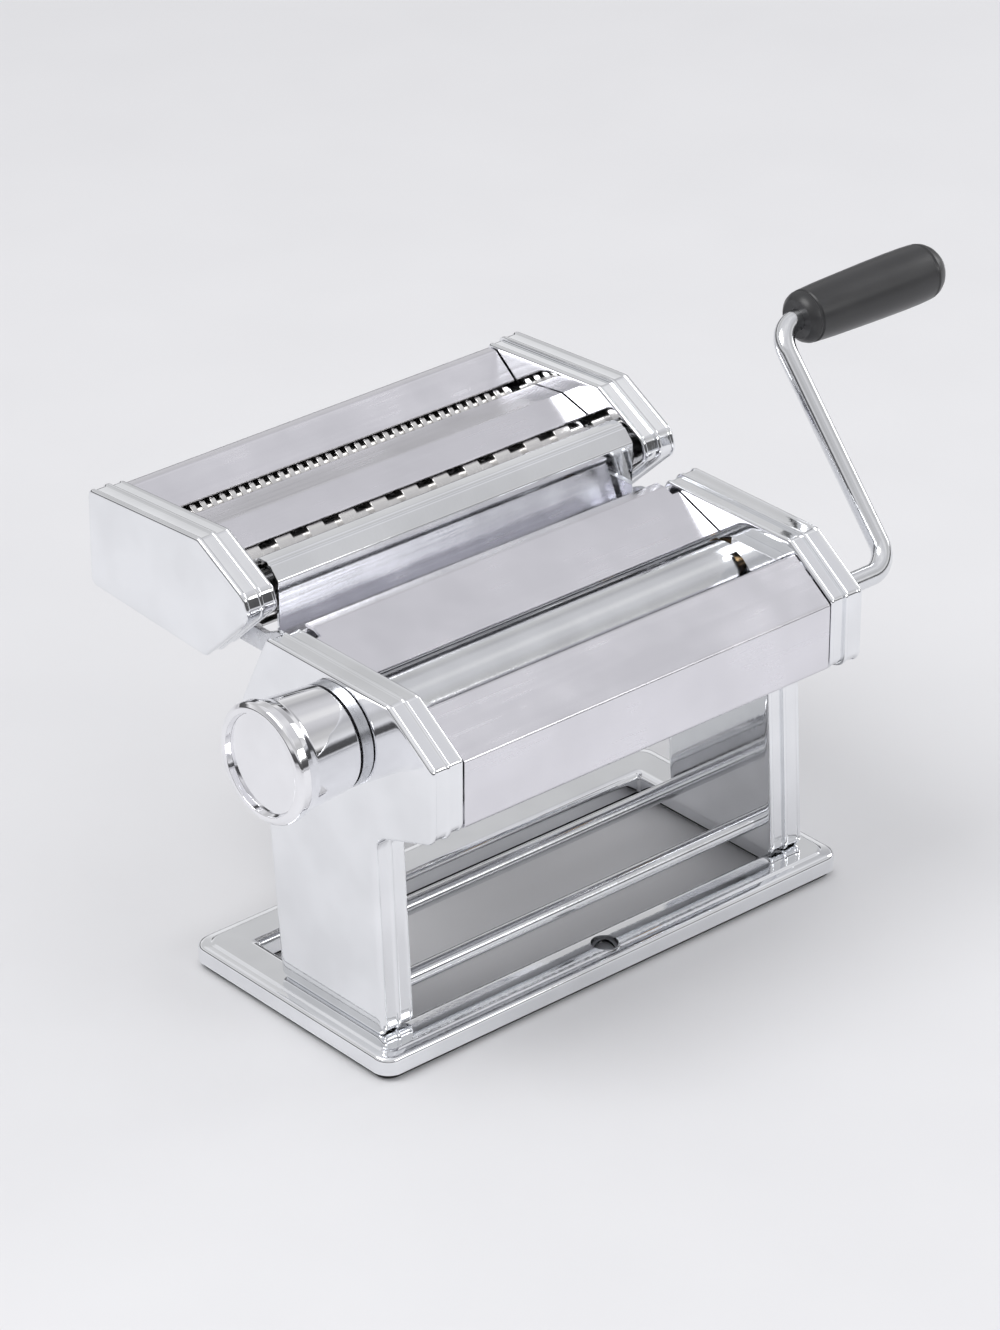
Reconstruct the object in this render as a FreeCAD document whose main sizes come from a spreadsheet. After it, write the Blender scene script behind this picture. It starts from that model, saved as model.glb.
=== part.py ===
import FreeCAD, Part
import math
import os
from types import SimpleNamespace

import Sketcher
from FreeCAD import Placement, Rotation, Vector

# A hand-cranked sheet roller for dough with a lift-off cutting head behind it.
# +X runs along the rollers towards the crank, +Y towards the cutting head, +Z up.
# The origin is on the table, at the centre of the base frame.  Millimetres throughout.

os.makedirs("parts", exist_ok=True)
doc = FreeCAD.newDocument("DoughRoller")
sheet = doc.addObject("Spreadsheet::Sheet", "Sizes")


# ---------------------------------------------------------------- sizes

class Dim:
    """A size that carries both its number and the sheet expression behind it."""

    def __init__(self, number, text):
        self.number = float(number)
        self.text = text

    def __float__(self):
        return self.number

    def __add__(self, other):
        other = dim(other)
        return Dim(self.number + other.number, f"({self.text} + {other.text})")

    __radd__ = __add__

    def __neg__(self):
        return Dim(-self.number, f"(-1 * {self.text})")

    def __sub__(self, other):
        return self + -dim(other)

    def __rsub__(self, other):
        return dim(other) + -self

    def __mul__(self, other):
        other = dim(other)
        return Dim(self.number * other.number, f"({self.text} * {other.text})")

    __rmul__ = __mul__

    def __truediv__(self, other):
        other = dim(other)
        return Dim(self.number / other.number, f"({self.text} / {other.text})")


def dim(value):
    return value if isinstance(value, Dim) else Dim(value, f"({float(value):.9g})")


SIZES = {
    # body of the machine, seen from the side
    "body_height": 128,
    "front_room": 4.6,
    "top_front_back": 3.1,
    "top_rear_reach": 16.4,
    "chamfer_drop": 14.4,
    "front_face_below": 3.1,
    "leg_root_front": 34,
    "leg_root_front_drop": 49,
    "leg_foot_front": 38,
    "leg_foot_rear": 12,
    "leg_root_rear": 18,
    "leg_root_rear_drop": 54,
    "shoulder_reach": 29.5,
    "shoulder_top_drop": 27,
    "shoulder_low_drop": 42,
    "belly_radius": 5,
    "root_radius": 7,
    "corner_radius": 3,
    # pressed sheet
    "cover_band": 7.5,
    "cover_wall": 1.2,
    "side_frame_band": 5.6,
    "side_frame_wall": 1.5,
    "band_step": 0.7,
    "panel_wall": 1.0,
    "panel_gap": 0.5,
    "seam_gap": 0.2,
    # base
    "base_ledge": 8,
    "base_depth": 97,
    "rail_width": 16,
    "rail_height": 7,
    "rail_wall": 1.5,
    "rail_corner": 6,
    "pad_proud": 2,
    "pad_depth": 3,
    "clamp_hole_radius": 4.5,
    # rollers and their drive
    "roller_length": 150,
    "roller_end_gap": 1.9,
    "roller_radius": 13,
    "roller_cover": 10.5,
    "rear_roller_reach": 15.4,
    "gap_open": 3.0,
    "gap_closed": 0.5,
    "journal_radius": 5,
    "running_clearance": 0.05,
    "gear_teeth": 11,
    "gear_addendum": 2.35,
    "gear_root_gap": 0.3,
    "gear_backlash": 0.35,
    "gear_pressure_angle": 25,
    "bush_flange": 1.4,
    "bush_flange_rim": 1.5,
    "bush_wall": 1.45,
    "bush_tail": 2.0,
    # sliding carriage of the rear roller
    "block_width": 18,
    "block_depth": 16,
    "block_flange": 2.0,
    "slide_play": 0.05,
    "slot_spare": 0.4,
    "link_radius": 2.5,
    "link_back": 8.4,
    "link_gap": 3,
    "spring_wire": 0.8,
    # thickness regulator
    "regulator_rise": 2.9,
    "regulator_shaft_radius": 4,
    "cam_radius": 9,
    "cam_width": 3.5,
    "cam_turn": 320,
    "follower_radius": 2,
    "index_radius": 17,
    "index_depth": 2,
    "index_groove": 12,
    "locating_pin_radius": 1.2,
    "knob_length": 26,
    "knob_gap": 2.8,
    "knob_root_radius": 17.2,
    "knob_rim_radius": 19.9,
    "knob_wall": 2.2,
    "knob_travel": 5,
    "drive_square": 5.6,
    # crank
    "crank_radius": 3.5,
    "crank_depth": 15,
    "crank_reach": 30,
    "crank_arm": 86,
    "crank_angle": 49.5,
    "crank_bend": 9,
    "grip_length": 62,
    "grip_radius": 10,
    # rods that tie the sides together
    "tie_radius": 3,
    "spacer_wall": 2,
    "nut_height": 3,
    # cutting head, seen from the side; the rises are above the body's top
    "head_nose": 27.2,
    "head_nose_rise": 9.6,
    "head_top_front_back": 21.8,
    "head_top_front_rise": 21.5,
    "head_chin": 24.5,
    "head_chin_rise": 2.5,
    "head_belly_back": 19.8,
    "head_belly_drop": 19,
    "head_rear_gap": 3.6,
    "head_rear_rise": 18,
    "head_rear_drop": 16,
    # cutters
    "cutter_axis_rise": 0,
    "cutter_front_gap": 6.9,
    "cutter_pair_gap": 3.7,
    "cutter_radius": 8.2,
    "cutter_mesh": 1.0,
    "cutter_core_gap": 0.9,
    "cutter_journal": 4.5,
    "wide_strip": 6.5,
    "narrow_strip": 2.0,
    "disc_side_play": 0.04,
    "cutter_gear_teeth": 14,
    "cutter_gear_backlash": 0.25,
    "comb_wall": 0.9,
    "slot_half": 4.6,
    # hooks that hold the cutting head
    "hook_wall": 2.0,
    "hook_rail_radius": 3,
    "hook_rail_reach": 16.5,
    "hook_rail_drop": 16,
    "rest_rail_reach": 22.5,
    "rest_rail_drop": 31,
    "hook_play": 0.1,
}
for row, (alias, value) in enumerate(SIZES.items(), start=1):
    sheet.set(f"A{row}", alias)
    sheet.set(f"B{row}", str(value))
    sheet.setAlias(f"B{row}", alias)
doc.recompute()
s = SimpleNamespace(**{alias: Dim(value, f"Sizes.{alias}") for alias, value in SIZES.items()})

# places that follow from the sizes: x is measured from the middle of the machine
roller_half = s.roller_length / 2
side_x = roller_half + s.roller_end_gap
plate_x = side_x + s.side_frame_wall
seam_x = side_x + s.side_frame_band
cover_x = seam_x + s.cover_band
lining_x = cover_x - s.cover_wall
panel_half = side_x - s.panel_gap
gear_x = seam_x + 0.3
journal_end = lining_x - 0.5
gear_end = journal_end - 0.5
gear_width = gear_end - gear_x
rail_top = s.pad_proud + s.rail_height

# rollers and regulator
roller_z = s.body_height - s.roller_cover - s.roller_radius
regulator_z = roller_z + s.regulator_rise
link_drop = s.roller_radius + s.link_gap
rear_y = -s.rear_roller_reach
drive_y = rear_y - 2 * s.roller_radius - s.gap_open
front_y = drive_y - s.roller_radius - s.front_room
top_front_y = drive_y + s.top_front_back
front_low_z = roller_z - s.roller_radius - s.front_face_below
roller_travel = s.gap_open - s.gap_closed

# cutting head
half_pair = s.cutter_radius - s.cutter_mesh / 2
pair_half_depth = half_pair + s.cutter_radius
wide_y = s.head_nose + s.cutter_front_gap + pair_half_depth
narrow_y = wide_y + 2 * pair_half_depth + s.cutter_pair_gap
head_rear_y = narrow_y + pair_half_depth + s.head_rear_gap
head_belly_y = s.head_nose + s.head_belly_back
head_nose_z = s.body_height + s.head_nose_rise
head_chin_z = s.body_height + s.head_chin_rise
head_belly_z = s.body_height - s.head_belly_drop
head_rear_low = s.body_height - s.head_rear_drop
head_rear_top = s.body_height + s.head_rear_rise
cutter_z = s.body_height + s.cutter_axis_rise
hook_rail_z = s.body_height - s.hook_rail_drop
rest_rail_z = s.body_height - s.rest_rail_drop


# ---------------------------------------------------------------- ways of making a piece

def bind(item, **properties):
    for name, value in properties.items():
        item.setExpression(name, dim(value).text)
    return item


def place(item, x=0, y=0, z=0):
    for axis, value in zip("xyz", (x, y, z)):
        item.setExpression(f"Placement.Base.{axis}", dim(value).text)
    return item


def mitres(points, closed):
    """How a corner moves when its path is shifted one unit to the left of travel."""
    moves = []
    count = len(points)
    for i, here in enumerate(points):
        normals = []
        for a, b in ((i - 1, i), (i, i + 1)):
            if closed or (a >= 0 and b < count):
                start, end = points[a % count], points[b % count]
                run = Vector(float(end[0]) - float(start[0]), float(end[1]) - float(start[1]), 0)
                run.normalize()
                normals.append(Vector(-run.y, run.x, 0))
        total = sum(normals[1:], normals[0])
        total.multiply(len(normals) / total.dot(total))
        moves.append((total.x, total.y))
    return moves


def shifted(points, distance, closed=True):
    moves = mitres(points, closed)
    return [(a + distance * move[0], b + distance * move[1]) for (a, b), move in zip(points, moves)]


def strip(path, thickness):
    """The section of a bent sheet whose left side lies thickness from the given path."""
    return path + shifted(path, thickness, closed=False)[::-1]


def origin_plane(body, role):
    return next(item for item in body.Origin.OriginFeatures if item.Role == role)


def sketch_on(body, role, offset=0):
    sketch = body.newObject("Sketcher::SketchObject", f"{body.Name}Sketch")
    sketch.AttachmentSupport = (origin_plane(body, role), [""])
    sketch.MapMode = "FlatFace"
    sketch.setExpression("AttachmentOffset.Base.z", dim(offset).text)
    return sketch


def hold(sketch, kind, geometry, point, value):
    """Fixes one coordinate of a sketch point to its size."""
    value = dim(value)
    index = sketch.addConstraint(Sketcher.Constraint(kind, -1, 1, geometry, point, value.number))
    sketch.setExpression(f"Constraints[{index}]", value.text)


def draw_polygon(sketch, points):
    first = sketch.GeometryCount
    count = len(points)
    corners = [Vector(float(a), float(b), 0) for a, b in points]
    for i in range(count):
        sketch.addGeometry(Part.LineSegment(corners[i], corners[(i + 1) % count]))
    for i in range(count):
        after = first + (i + 1) % count
        sketch.addConstraint(Sketcher.Constraint("Coincident", first + i, 2, after, 1))
    for i, (a, b) in enumerate(points):
        hold(sketch, "DistanceX", first + i, 1, a)
        hold(sketch, "DistanceY", first + i, 1, b)


def draw_circle(sketch, a, b, radius):
    circle = Part.Circle(Vector(float(a), float(b), 0), Vector(0, 0, 1), float(radius))
    index = sketch.addGeometry(circle)
    hold(sketch, "DistanceX", index, 3, a)
    hold(sketch, "DistanceY", index, 3, b)
    size = dim(radius)
    held = sketch.addConstraint(Sketcher.Constraint("Radius", index, size.number))
    sketch.setExpression(f"Constraints[{held}]", size.text)


def new_body(label):
    body = doc.addObject("PartDesign::Body", "Body_" + label)
    body.Label = label
    return body


def pad(body, sketch, length):
    feature = body.newObject("PartDesign::Pad", f"{body.Name}Pad")
    feature.Profile = sketch
    return bind(feature, Length=length)


def padded_section(label, points, start, length, holes=()):
    """A sheet or plate drawn from the side and given its width along X."""
    body = new_body(label)
    sketch = sketch_on(body, "YZ_Plane", start)
    draw_polygon(sketch, points)
    for y, z, radius in holes:
        draw_circle(sketch, y, z, radius)
    pad(body, sketch, length)
    return body


def corner_edges(feature, corners):
    """The edges along X that stand on the given corners."""
    names = []
    for index, edge in enumerate(feature.Shape.Edges, start=1):
        direction = edge.Vertexes[-1].Point - edge.Vertexes[0].Point
        if abs(direction.y) + abs(direction.z) > 1e-6:
            continue
        foot = edge.Vertexes[0].Point
        if any(math.hypot(foot.y - float(y), foot.z - float(z)) < 1e-4 for y, z in corners):
            names.append(f"Edge{index}")
    return names


def round_corners(body, corners, radius):
    doc.recompute()
    base = body.Tip
    names = corner_edges(base, corners)
    if len(names) != len(corners):
        raise RuntimeError(f"{body.Label}: {len(names)} of {len(corners)} corners found")
    fillet = body.newObject("PartDesign::Fillet", f"{body.Name}Fillet")
    fillet.Base = (base, names)
    bind(fillet, Radius=radius)


def hollow(body, axis, position, wall):
    """Opens the face that lies square to axis at position and leaves a wall behind the rest."""
    doc.recompute()
    base = body.Tip
    for index, face in enumerate(base.Shape.Faces, start=1):
        box = face.BoundBox
        low, high = getattr(box, axis + "Min"), getattr(box, axis + "Max")
        if abs(low - float(position)) < 1e-4 and abs(high - float(position)) < 1e-4:
            shell = body.newObject("PartDesign::Thickness", f"{body.Name}Shell")
            shell.Base = (base, [f"Face{index}"])
            shell.Join = "Intersection"
            shell.Reversed = True
            bind(shell, Value=wall)
            return
    raise RuntimeError(f"{body.Label}: no face to open")


def pierce(body, circles=(), windows=()):
    """Cuts round holes (y, z, radius) and four-sided windows (y0, y1, z0, z1) right through in X."""
    doc.recompute()
    before = body.Tip.Shape.Volume
    sketch = sketch_on(body, "YZ_Plane")
    for y, z, radius in circles:
        draw_circle(sketch, y, z, radius)
    for y0, y1, z0, z1 in windows:
        draw_polygon(sketch, [(y0, z0), (y1, z0), (y1, z1), (y0, z1)])
    pocket = body.newObject("PartDesign::Pocket", f"{body.Name}Pocket")
    pocket.Profile = sketch
    pocket.SideType = "Symmetric"
    pocket.Type = "ThroughAll"
    doc.recompute()
    if body.Tip.Shape.Volume > before - 1e-6:
        raise RuntimeError(f"{body.Label}: the holes cut nothing")


def turned(label, profile, y, z):
    """A piece turned about its own axis along X; profile holds (x, radius) corners."""
    body = new_body(label)
    sketch = sketch_on(body, "XY_Plane")
    draw_polygon(sketch, profile)
    turn = body.newObject("PartDesign::Revolution", f"{body.Name}Turn")
    turn.Profile = sketch
    turn.ReferenceAxis = (origin_plane(body, "X_Axis"), [""])
    turn.Angle = 360
    place(body, 0, y, z)
    return body


def bar(name, x0, x1, y, z, radius):
    """A round bar along X."""
    item = doc.addObject("Part::Cylinder", name)
    item.Label = name
    bind(item, Radius=radius, Height=dim(x1) - x0)
    item.Placement = Placement(Vector(), Rotation(Vector(0, 1, 0), 90))
    return place(item, x0, y, z)


def upright(name, x, y, z0, z1, radius):
    """A round bar along Z."""
    item = doc.addObject("Part::Cylinder", name)
    item.Label = name
    bind(item, Radius=radius, Height=dim(z1) - z0)
    return place(item, x, y, z0)


def block(name, x0, x1, y0, y1, z0, z1):
    item = doc.addObject("Part::Box", name)
    item.Label = name
    bind(item, Length=dim(x1) - x0, Width=dim(y1) - y0, Height=dim(z1) - z0)
    return place(item, x0, y0, z0)


def fuse(label, pieces):
    item = doc.addObject("Part::MultiFuse", "Fuse_" + label)
    item.Shapes = pieces
    item.Label = label
    return item


def cut(label, base, tools):
    tool = tools[0] if len(tools) == 1 else fuse(label + "_tools", tools)
    item = doc.addObject("Part::Cut", "Cut_" + label)
    item.Base = base
    item.Tool = tool
    item.Label = label
    return item


def group(label, pieces):
    """Like pieces that share one node as separate solids."""
    item = doc.addObject("Part::Compound", "Group_" + label)
    item.Links = pieces
    item.Label = label
    return item


def formed(label, shape, x=0, y=0, z=0):
    """A shape that follows a formula, placed on its axis."""
    item = doc.addObject("Part::Feature", "Form_" + label)
    item.Shape = shape
    item.Label = label
    return place(item, x, y, z)


def span(side, near, far):
    """Start and length along X of a piece between near and far on the given side."""
    start = near if side > 0 else -dim(far)
    return start, dim(far) - near


SIDES = (("left", -1), ("right", 1))
nodes = []


def keep(*items):
    nodes.extend(items)


# ---------------------------------------------------------------- outlines seen from the side

body_outline = [
    (s.top_rear_reach, s.body_height),
    (top_front_y, s.body_height),
    (front_y, s.body_height - s.chamfer_drop),
    (front_y, front_low_z),
    (-s.leg_root_front, s.body_height - s.leg_root_front_drop),
    (-s.leg_foot_front, rail_top),
    (s.leg_foot_rear, rail_top),
    (s.leg_root_rear, s.body_height - s.leg_root_rear_drop),
    (s.shoulder_reach, s.body_height - s.shoulder_low_drop),
    (s.shoulder_reach, s.body_height - s.shoulder_top_drop),
]
head_outline = [
    (head_rear_y, head_rear_top),
    (s.head_nose + s.head_top_front_back, s.body_height + s.head_top_front_rise),
    (s.head_nose, head_nose_z),
    (s.head_chin, head_chin_z),
    (head_belly_y, head_belly_z),
    (head_rear_y, head_rear_low),
]


def pressed_side(label, outline, side, near, far, open_x, wall, radii):
    """A pressed side: a plate with its rim turned over all round."""
    start, depth = span(side, near, far)
    body = padded_section(label, outline, start, depth)
    for corners, radius in radii:
        round_corners(body, [outline[i] for i in corners], radius)
    hollow(body, "X", side * dim(open_x), wall)
    return body


BODY_ROUNDS = (
    ((0, 1, 2, 5, 6, 9), s.corner_radius),
    ((3, 8), s.belly_radius),
    ((4, 7), s.root_radius),
)
HEAD_ROUNDS = (((0, 1, 4, 5), s.corner_radius), ((2, 3), s.belly_radius))

# ---------------------------------------------------------------- base

base = new_body("base_pressing")
base_sketch = sketch_on(base, "XY_Plane", s.pad_proud)
half_w, half_d = cover_x + s.base_ledge, s.base_depth / 2
inner_w, inner_d = half_w - s.rail_width, half_d - s.rail_width


def rectangle(a, b):
    return [(-a, -b), (a, -b), (a, b), (-a, b)]


draw_polygon(base_sketch, rectangle(half_w, half_d))
draw_polygon(base_sketch, rectangle(inner_w, inner_d))
pad(base, base_sketch, s.rail_height)
doc.recompute()
upright_edges = [
    f"Edge{index}"
    for index, edge in enumerate(base.Tip.Shape.Edges, start=1)
    if abs(abs(edge.Vertexes[0].Z - edge.Vertexes[-1].Z) - float(s.rail_height)) < 1e-6
]
base_solid = base.Tip
base_fillet = base.newObject("PartDesign::Fillet", "BaseFillet")
base_fillet.Base = (base_solid, upright_edges)
bind(base_fillet, Radius=s.rail_corner)
hollow(base, "Z", s.pad_proud, s.rail_wall)

clamp_y = -half_d + s.rail_width / 2
clamp_boss = upright("clamp_boss", 0, clamp_y, s.pad_proud, rail_top, s.clamp_hole_radius + s.rail_wall)
clamp_bore = upright("clamp_bore", 0, clamp_y, 0, rail_top + 1, s.clamp_hole_radius)
channel_side = inner_w + s.rail_wall
screw_x = (channel_side + lining_x) / 2
screw_spots = [
    (side * screw_x, y)
    for side in (-1, 1)
    for y in (-s.leg_foot_front + 9, s.leg_foot_rear - 9)
]
screw_radius = 2
screw_holes = [
    upright(f"screw_hole_{i}", x, y, s.pad_proud, rail_top + 1, screw_radius)
    for i, (x, y) in enumerate(screw_spots)
]
base_frame = cut("base_frame", fuse("base_with_boss", [base, clamp_boss]), [clamp_bore] + screw_holes)
keep(base_frame)

channel_w, channel_d = half_w - s.rail_wall - s.seam_gap, half_d - s.rail_wall - s.seam_gap
pad_w, pad_d = inner_w + s.rail_wall + s.seam_gap, inner_d + s.rail_wall + s.seam_gap
ring_outer = block("ring_outer", -channel_w, channel_w, -channel_d, channel_d, 0, s.pad_depth + s.pad_proud)
ring_inner = block("ring_inner", -pad_w, pad_w, -pad_d, pad_d, -1, s.pad_depth + s.pad_proud + 1)
pad_bore = upright("pad_bore", 0, clamp_y, -1, s.pad_depth + s.pad_proud + 1,
                   s.clamp_hole_radius + s.rail_wall + s.seam_gap)
corner_trim = s.rail_corner
pad_ring = cut("pad_ring", ring_outer, [ring_inner, pad_bore])
corners_off = doc.addObject("Part::Chamfer", "pad_corners")
corners_off.Base = pad_ring
doc.recompute()
corner_cuts = []
for index, edge in enumerate(pad_ring.Shape.Edges, start=1):
    foot = edge.Vertexes[0].Point
    at_corner = abs(abs(foot.x) - float(channel_w)) < 1e-4 and abs(abs(foot.y) - float(channel_d)) < 1e-4
    if at_corner and abs(edge.Vertexes[-1].Z - foot.z) > 1:
        corner_cuts.append((index, float(corner_trim), float(corner_trim)))
corners_off.Edges = corner_cuts
corners_off.Label = "base_pad"
keep(corners_off)

# ---------------------------------------------------------------- covers and side frames

slot_z = roller_z - s.block_depth / 2
slot_front = rear_y - s.block_width / 2 - roller_travel - s.slot_spare
slot_rear = rear_y + s.block_width / 2 + s.slot_spare
link_wall = 1.5
block_low_z = roller_z - link_drop - s.link_radius - link_wall
front_tie = (-s.leg_root_front + 9, block_low_z - s.tie_radius - 1.5)
rear_tie = (dim(13), s.body_height - 38)
low_front_tie = (-s.leg_foot_front + 9, rail_top + 11)
low_rear_tie = (s.leg_foot_rear - 8, rail_top + 11)
ties = [front_tie, rear_tie, low_front_tie, low_rear_tie]
rails = [(s.hook_rail_reach, hook_rail_z), (s.rest_rail_reach, rest_rail_z)]

for word, side in SIDES:
    cover = pressed_side(f"{word}_side_cover", body_outline, side, seam_x, cover_x, seam_x,
                         s.cover_wall, BODY_ROUNDS)
    if side < 0:
        holes = [(rear_y, regulator_z, s.regulator_shaft_radius + 3)]
    else:
        holes = [(drive_y, roller_z, s.journal_radius + 3)]
    pierce(cover, holes)
    foot_holes = [
        upright(f"{word}_foot_hole_{i}", x, y, rail_top - 1, rail_top + s.cover_wall + 1, screw_radius)
        for i, (x, y) in enumerate(screw_spots)
        if float(x) * side > 0
    ]
    cover.Label = f"{word}_cover_pressing"
    keep(cut(f"{word}_side_cover", cover, foot_holes))

    inner_outline = shifted(body_outline, s.band_step)
    frame = pressed_side(f"{word}_side_frame", inner_outline, side, side_x, seam_x, seam_x,
                         s.side_frame_wall, BODY_ROUNDS)
    bores = [(drive_y, roller_z, s.journal_radius + s.running_clearance + s.bush_wall)]
    bores += [(y, z, s.tie_radius) for y, z in ties]
    bores += [(y, z, s.hook_rail_radius) for y, z in rails]
    pierce(frame, bores, [(slot_front, slot_rear, slot_z, slot_z + s.block_depth)])
    keep(frame)

# rods, spacers, nuts and screws
rods = [bar(f"tie_rod_{i}", -lining_x, lining_x, y, z, s.tie_radius) for i, (y, z) in enumerate(ties)]
keep(group("tie_rods", rods))
spacers = []
for i, (y, z) in enumerate(ties):
    for word, side in SIDES:
        start, length = span(side, plate_x, lining_x)
        sleeve = bar(f"sleeve_{word}_{i}", start, start + length, y, z, s.tie_radius + s.spacer_wall)
        core = bar(f"sleeve_core_{word}_{i}", start, start + length, y, z, s.tie_radius)
        spacers.append(cut(f"spacer_{word}_{i}", sleeve, [core]))
keep(group("cover_spacers", spacers))
hook_rails = []
for i, (y, z) in enumerate(rails):
    pieces = [bar(f"rail_rod_{i}", -plate_x, plate_x, y, z, s.hook_rail_radius)]
    for word, side in SIDES:
        start, length = span(side, plate_x, plate_x + s.nut_height)
        head = doc.addObject("Part::Prism", f"rail_head_{word}_{i}")
        head.Polygon = 6
        bind(head, Circumradius=s.hook_rail_radius + 1.4, Height=length)
        head.Placement = Placement(Vector(), Rotation(Vector(0, 1, 0), 90))
        pieces.append(place(head, start, y, z))
    hook_rails.append(fuse(f"hook_rail_{i}", pieces))
keep(group("hook_rails", hook_rails))

screw_head = 2.0
screw_head_radius = (lining_x - channel_side) / 2 - 0.1
base_screws = []
for i, (x, y) in enumerate(screw_spots):
    under = rail_top - s.rail_wall
    shank = upright(f"shank_{i}", x, y, under, rail_top + s.cover_wall + s.nut_height, screw_radius)
    head = upright(f"head_{i}", x, y, under - screw_head, under, screw_head_radius)
    above = rail_top + s.cover_wall
    nut = upright(f"foot_nut_{i}", x, y, above, above + s.nut_height - 0.5, screw_head_radius)
    base_screws.append(fuse(f"base_screw_{i}", [shank, head, nut]))
keep(group("base_screws", base_screws))

# ---------------------------------------------------------------- casing and hopper

chamfer_slope = s.chamfer_drop / (top_front_y - front_y)
casing_sink = 2.1
casing_front = front_y + 1.0


def under_chamfer(y):
    """Height of the casing's slope, a little below the chamfer of the covers."""
    return s.body_height - casing_sink + (dim(y) - top_front_y) * chamfer_slope


casing_top = drive_y + 1.2
casing_path = [
    (casing_top + 1.0, roller_z + s.roller_radius + 2.6),
    (casing_top, under_chamfer(casing_top)),
    (casing_front, under_chamfer(casing_front)),
    (casing_front, front_low_z + 0.8),
    (casing_front + 3.5, front_low_z - 0.4),
]
front_casing = padded_section("front_casing", strip(casing_path, s.panel_wall), -panel_half, 2 * panel_half)
round_corners(front_casing, casing_path[1:4], s.panel_wall)
keep(front_casing)

hopper_path = [
    (rear_y + 6.9, roller_z + s.roller_radius + 0.2),
    (s.top_rear_reach - 3.0, s.body_height - 2.0),
    (s.top_rear_reach + 0.4, s.body_height - 2.0),
]
hopper = padded_section("hopper_sheet", strip(hopper_path, s.panel_wall), -panel_half, 2 * panel_half)
hook_x = side_x - s.seam_gap
hook_inner = hook_x - s.hook_wall
notches = []
for word, side in SIDES:
    start, length = span(side, hook_inner - 1.2, side_x)
    notches.append(block(f"hopper_notch_{word}", start, start + length,
                         s.hook_rail_reach - s.hook_rail_radius - 4, s.top_rear_reach + 5,
                         hook_rail_z, s.body_height + 1))
keep(cut("rear_hopper_panel", hopper, notches))

rear_path = [
    (s.shoulder_reach - 3.5, s.body_height - s.shoulder_low_drop + 1.5),
    (s.shoulder_reach - 0.6, s.body_height - s.shoulder_low_drop + 2.6),
    (s.shoulder_reach - 0.6, s.body_height - s.shoulder_top_drop),
    (s.top_rear_reach + 1.0, s.body_height - 3.2),
]
casing_half = hook_inner - 1.2
keep(padded_section("rear_casing", strip(rear_path, s.panel_wall), -casing_half, 2 * casing_half))

nip_y = (drive_y + rear_y) / 2
guide_outline = [
    (nip_y - 1.8, roller_z + s.roller_radius - 5.8),
    (nip_y - 0.8, roller_z + s.roller_radius - 5.8),
    (rear_y - 10.0, roller_z + s.roller_radius - 1.2),
    (rear_y - 4.5, roller_z + s.roller_radius + 1.4),
    (rear_y - 4.5, roller_z + s.roller_radius + 4.4),
    (drive_y + 4.0, roller_z + s.roller_radius + 4.4),
    (drive_y + 4.0, roller_z + s.roller_radius + 1.2),
    (drive_y + 7.6, roller_z + s.roller_radius - 1.1),
]
guide_width = 5.0
guides = []
for word, side in SIDES:
    start, length = span(side, side_x - guide_width, side_x)
    guide = padded_section(f"{word}_dough_guide", guide_outline, start, length)
    guides.append(guide)
keep(group("dough_guides", guides))

scraper_wall = 0.6
scraper_path = [
    (drive_y - 1.6, roller_z - s.roller_radius - 1.1),
    (drive_y - 3.6, roller_z - s.roller_radius - 2.0),
    (drive_y - 6.6, roller_z - s.roller_radius - 2.0),
]
keep(padded_section("front_scraper", strip(scraper_path, scraper_wall), -side_x, 2 * side_x))

# ---------------------------------------------------------------- drive roller

def flat_socket(name, x0, x1, y, z, radius, flat):
    """A round bar with one flat, the shape of the crank's end."""
    flank = block(name + "_flat", dim(x0) - 1, dim(x1) + 1, dim(y) - radius, dim(y) + radius,
                  dim(z) + radius - flat, dim(z) + radius + 1)
    return cut(name, bar(name + "_bar", x0, x1, y, z, radius), [flank])


def roller_profile(left_end, right_end):
    return [
        (-left_end, 0),
        (-left_end, s.journal_radius),
        (-roller_half, s.journal_radius),
        (-roller_half, s.roller_radius),
        (roller_half, s.roller_radius),
        (roller_half, s.journal_radius),
        (right_end, s.journal_radius),
        (right_end, 0),
    ]


left_journal = plate_x + s.block_flange + 0.4
drive_blank = turned("drive_roller_blank", roller_profile(left_journal, journal_end), drive_y, roller_z)
crank_flat = 1.0
socket_radius = s.crank_radius + s.running_clearance
keep(cut("drive_roller", drive_blank, [
    flat_socket("crank_socket", journal_end - s.crank_depth - 0.5, journal_end + 1, drive_y,
                roller_z, socket_radius, crank_flat)
]))
keep(turned("rear_roller", roller_profile(left_journal, journal_end), rear_y, roller_z))


def gear_shape(module, teeth, pressure_angle, outside, root, backlash, bore, width, phase):
    """A spur gear with involute flanks, its axis along X and one tooth at the phase angle."""
    pitch = module * teeth / 2
    grip = math.radians(pressure_angle)
    base_radius = pitch * math.cos(grip)
    thickness = math.pi * module / 2 - backlash
    foot = max(base_radius, root + 0.01)
    flank = []
    for step in range(6):
        radius = foot + (outside - foot) * step / 5
        alpha = math.acos(min(1.0, base_radius / radius))
        half = thickness / (2 * pitch) + math.tan(grip) - grip - math.tan(alpha) + alpha
        flank.append((radius, half))
    tooth = [(root, flank[0][1])] + flank
    outline = []
    for index in range(teeth):
        centre = phase + 2 * math.pi * index / teeth
        for radius, half in tooth:
            outline.append((radius, centre - half))
        for radius, half in reversed(tooth):
            outline.append((radius, centre + half))
    points = [Vector(0, radius * math.cos(angle), radius * math.sin(angle)) for radius, angle in outline]
    face = Part.Face(Part.makePolygon(points + points[:1]))
    hole = Part.makeCylinder(bore, width, Vector(), Vector(1, 0, 0))
    return face.extrude(Vector(width, 0, 0)).cut(hole)


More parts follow.
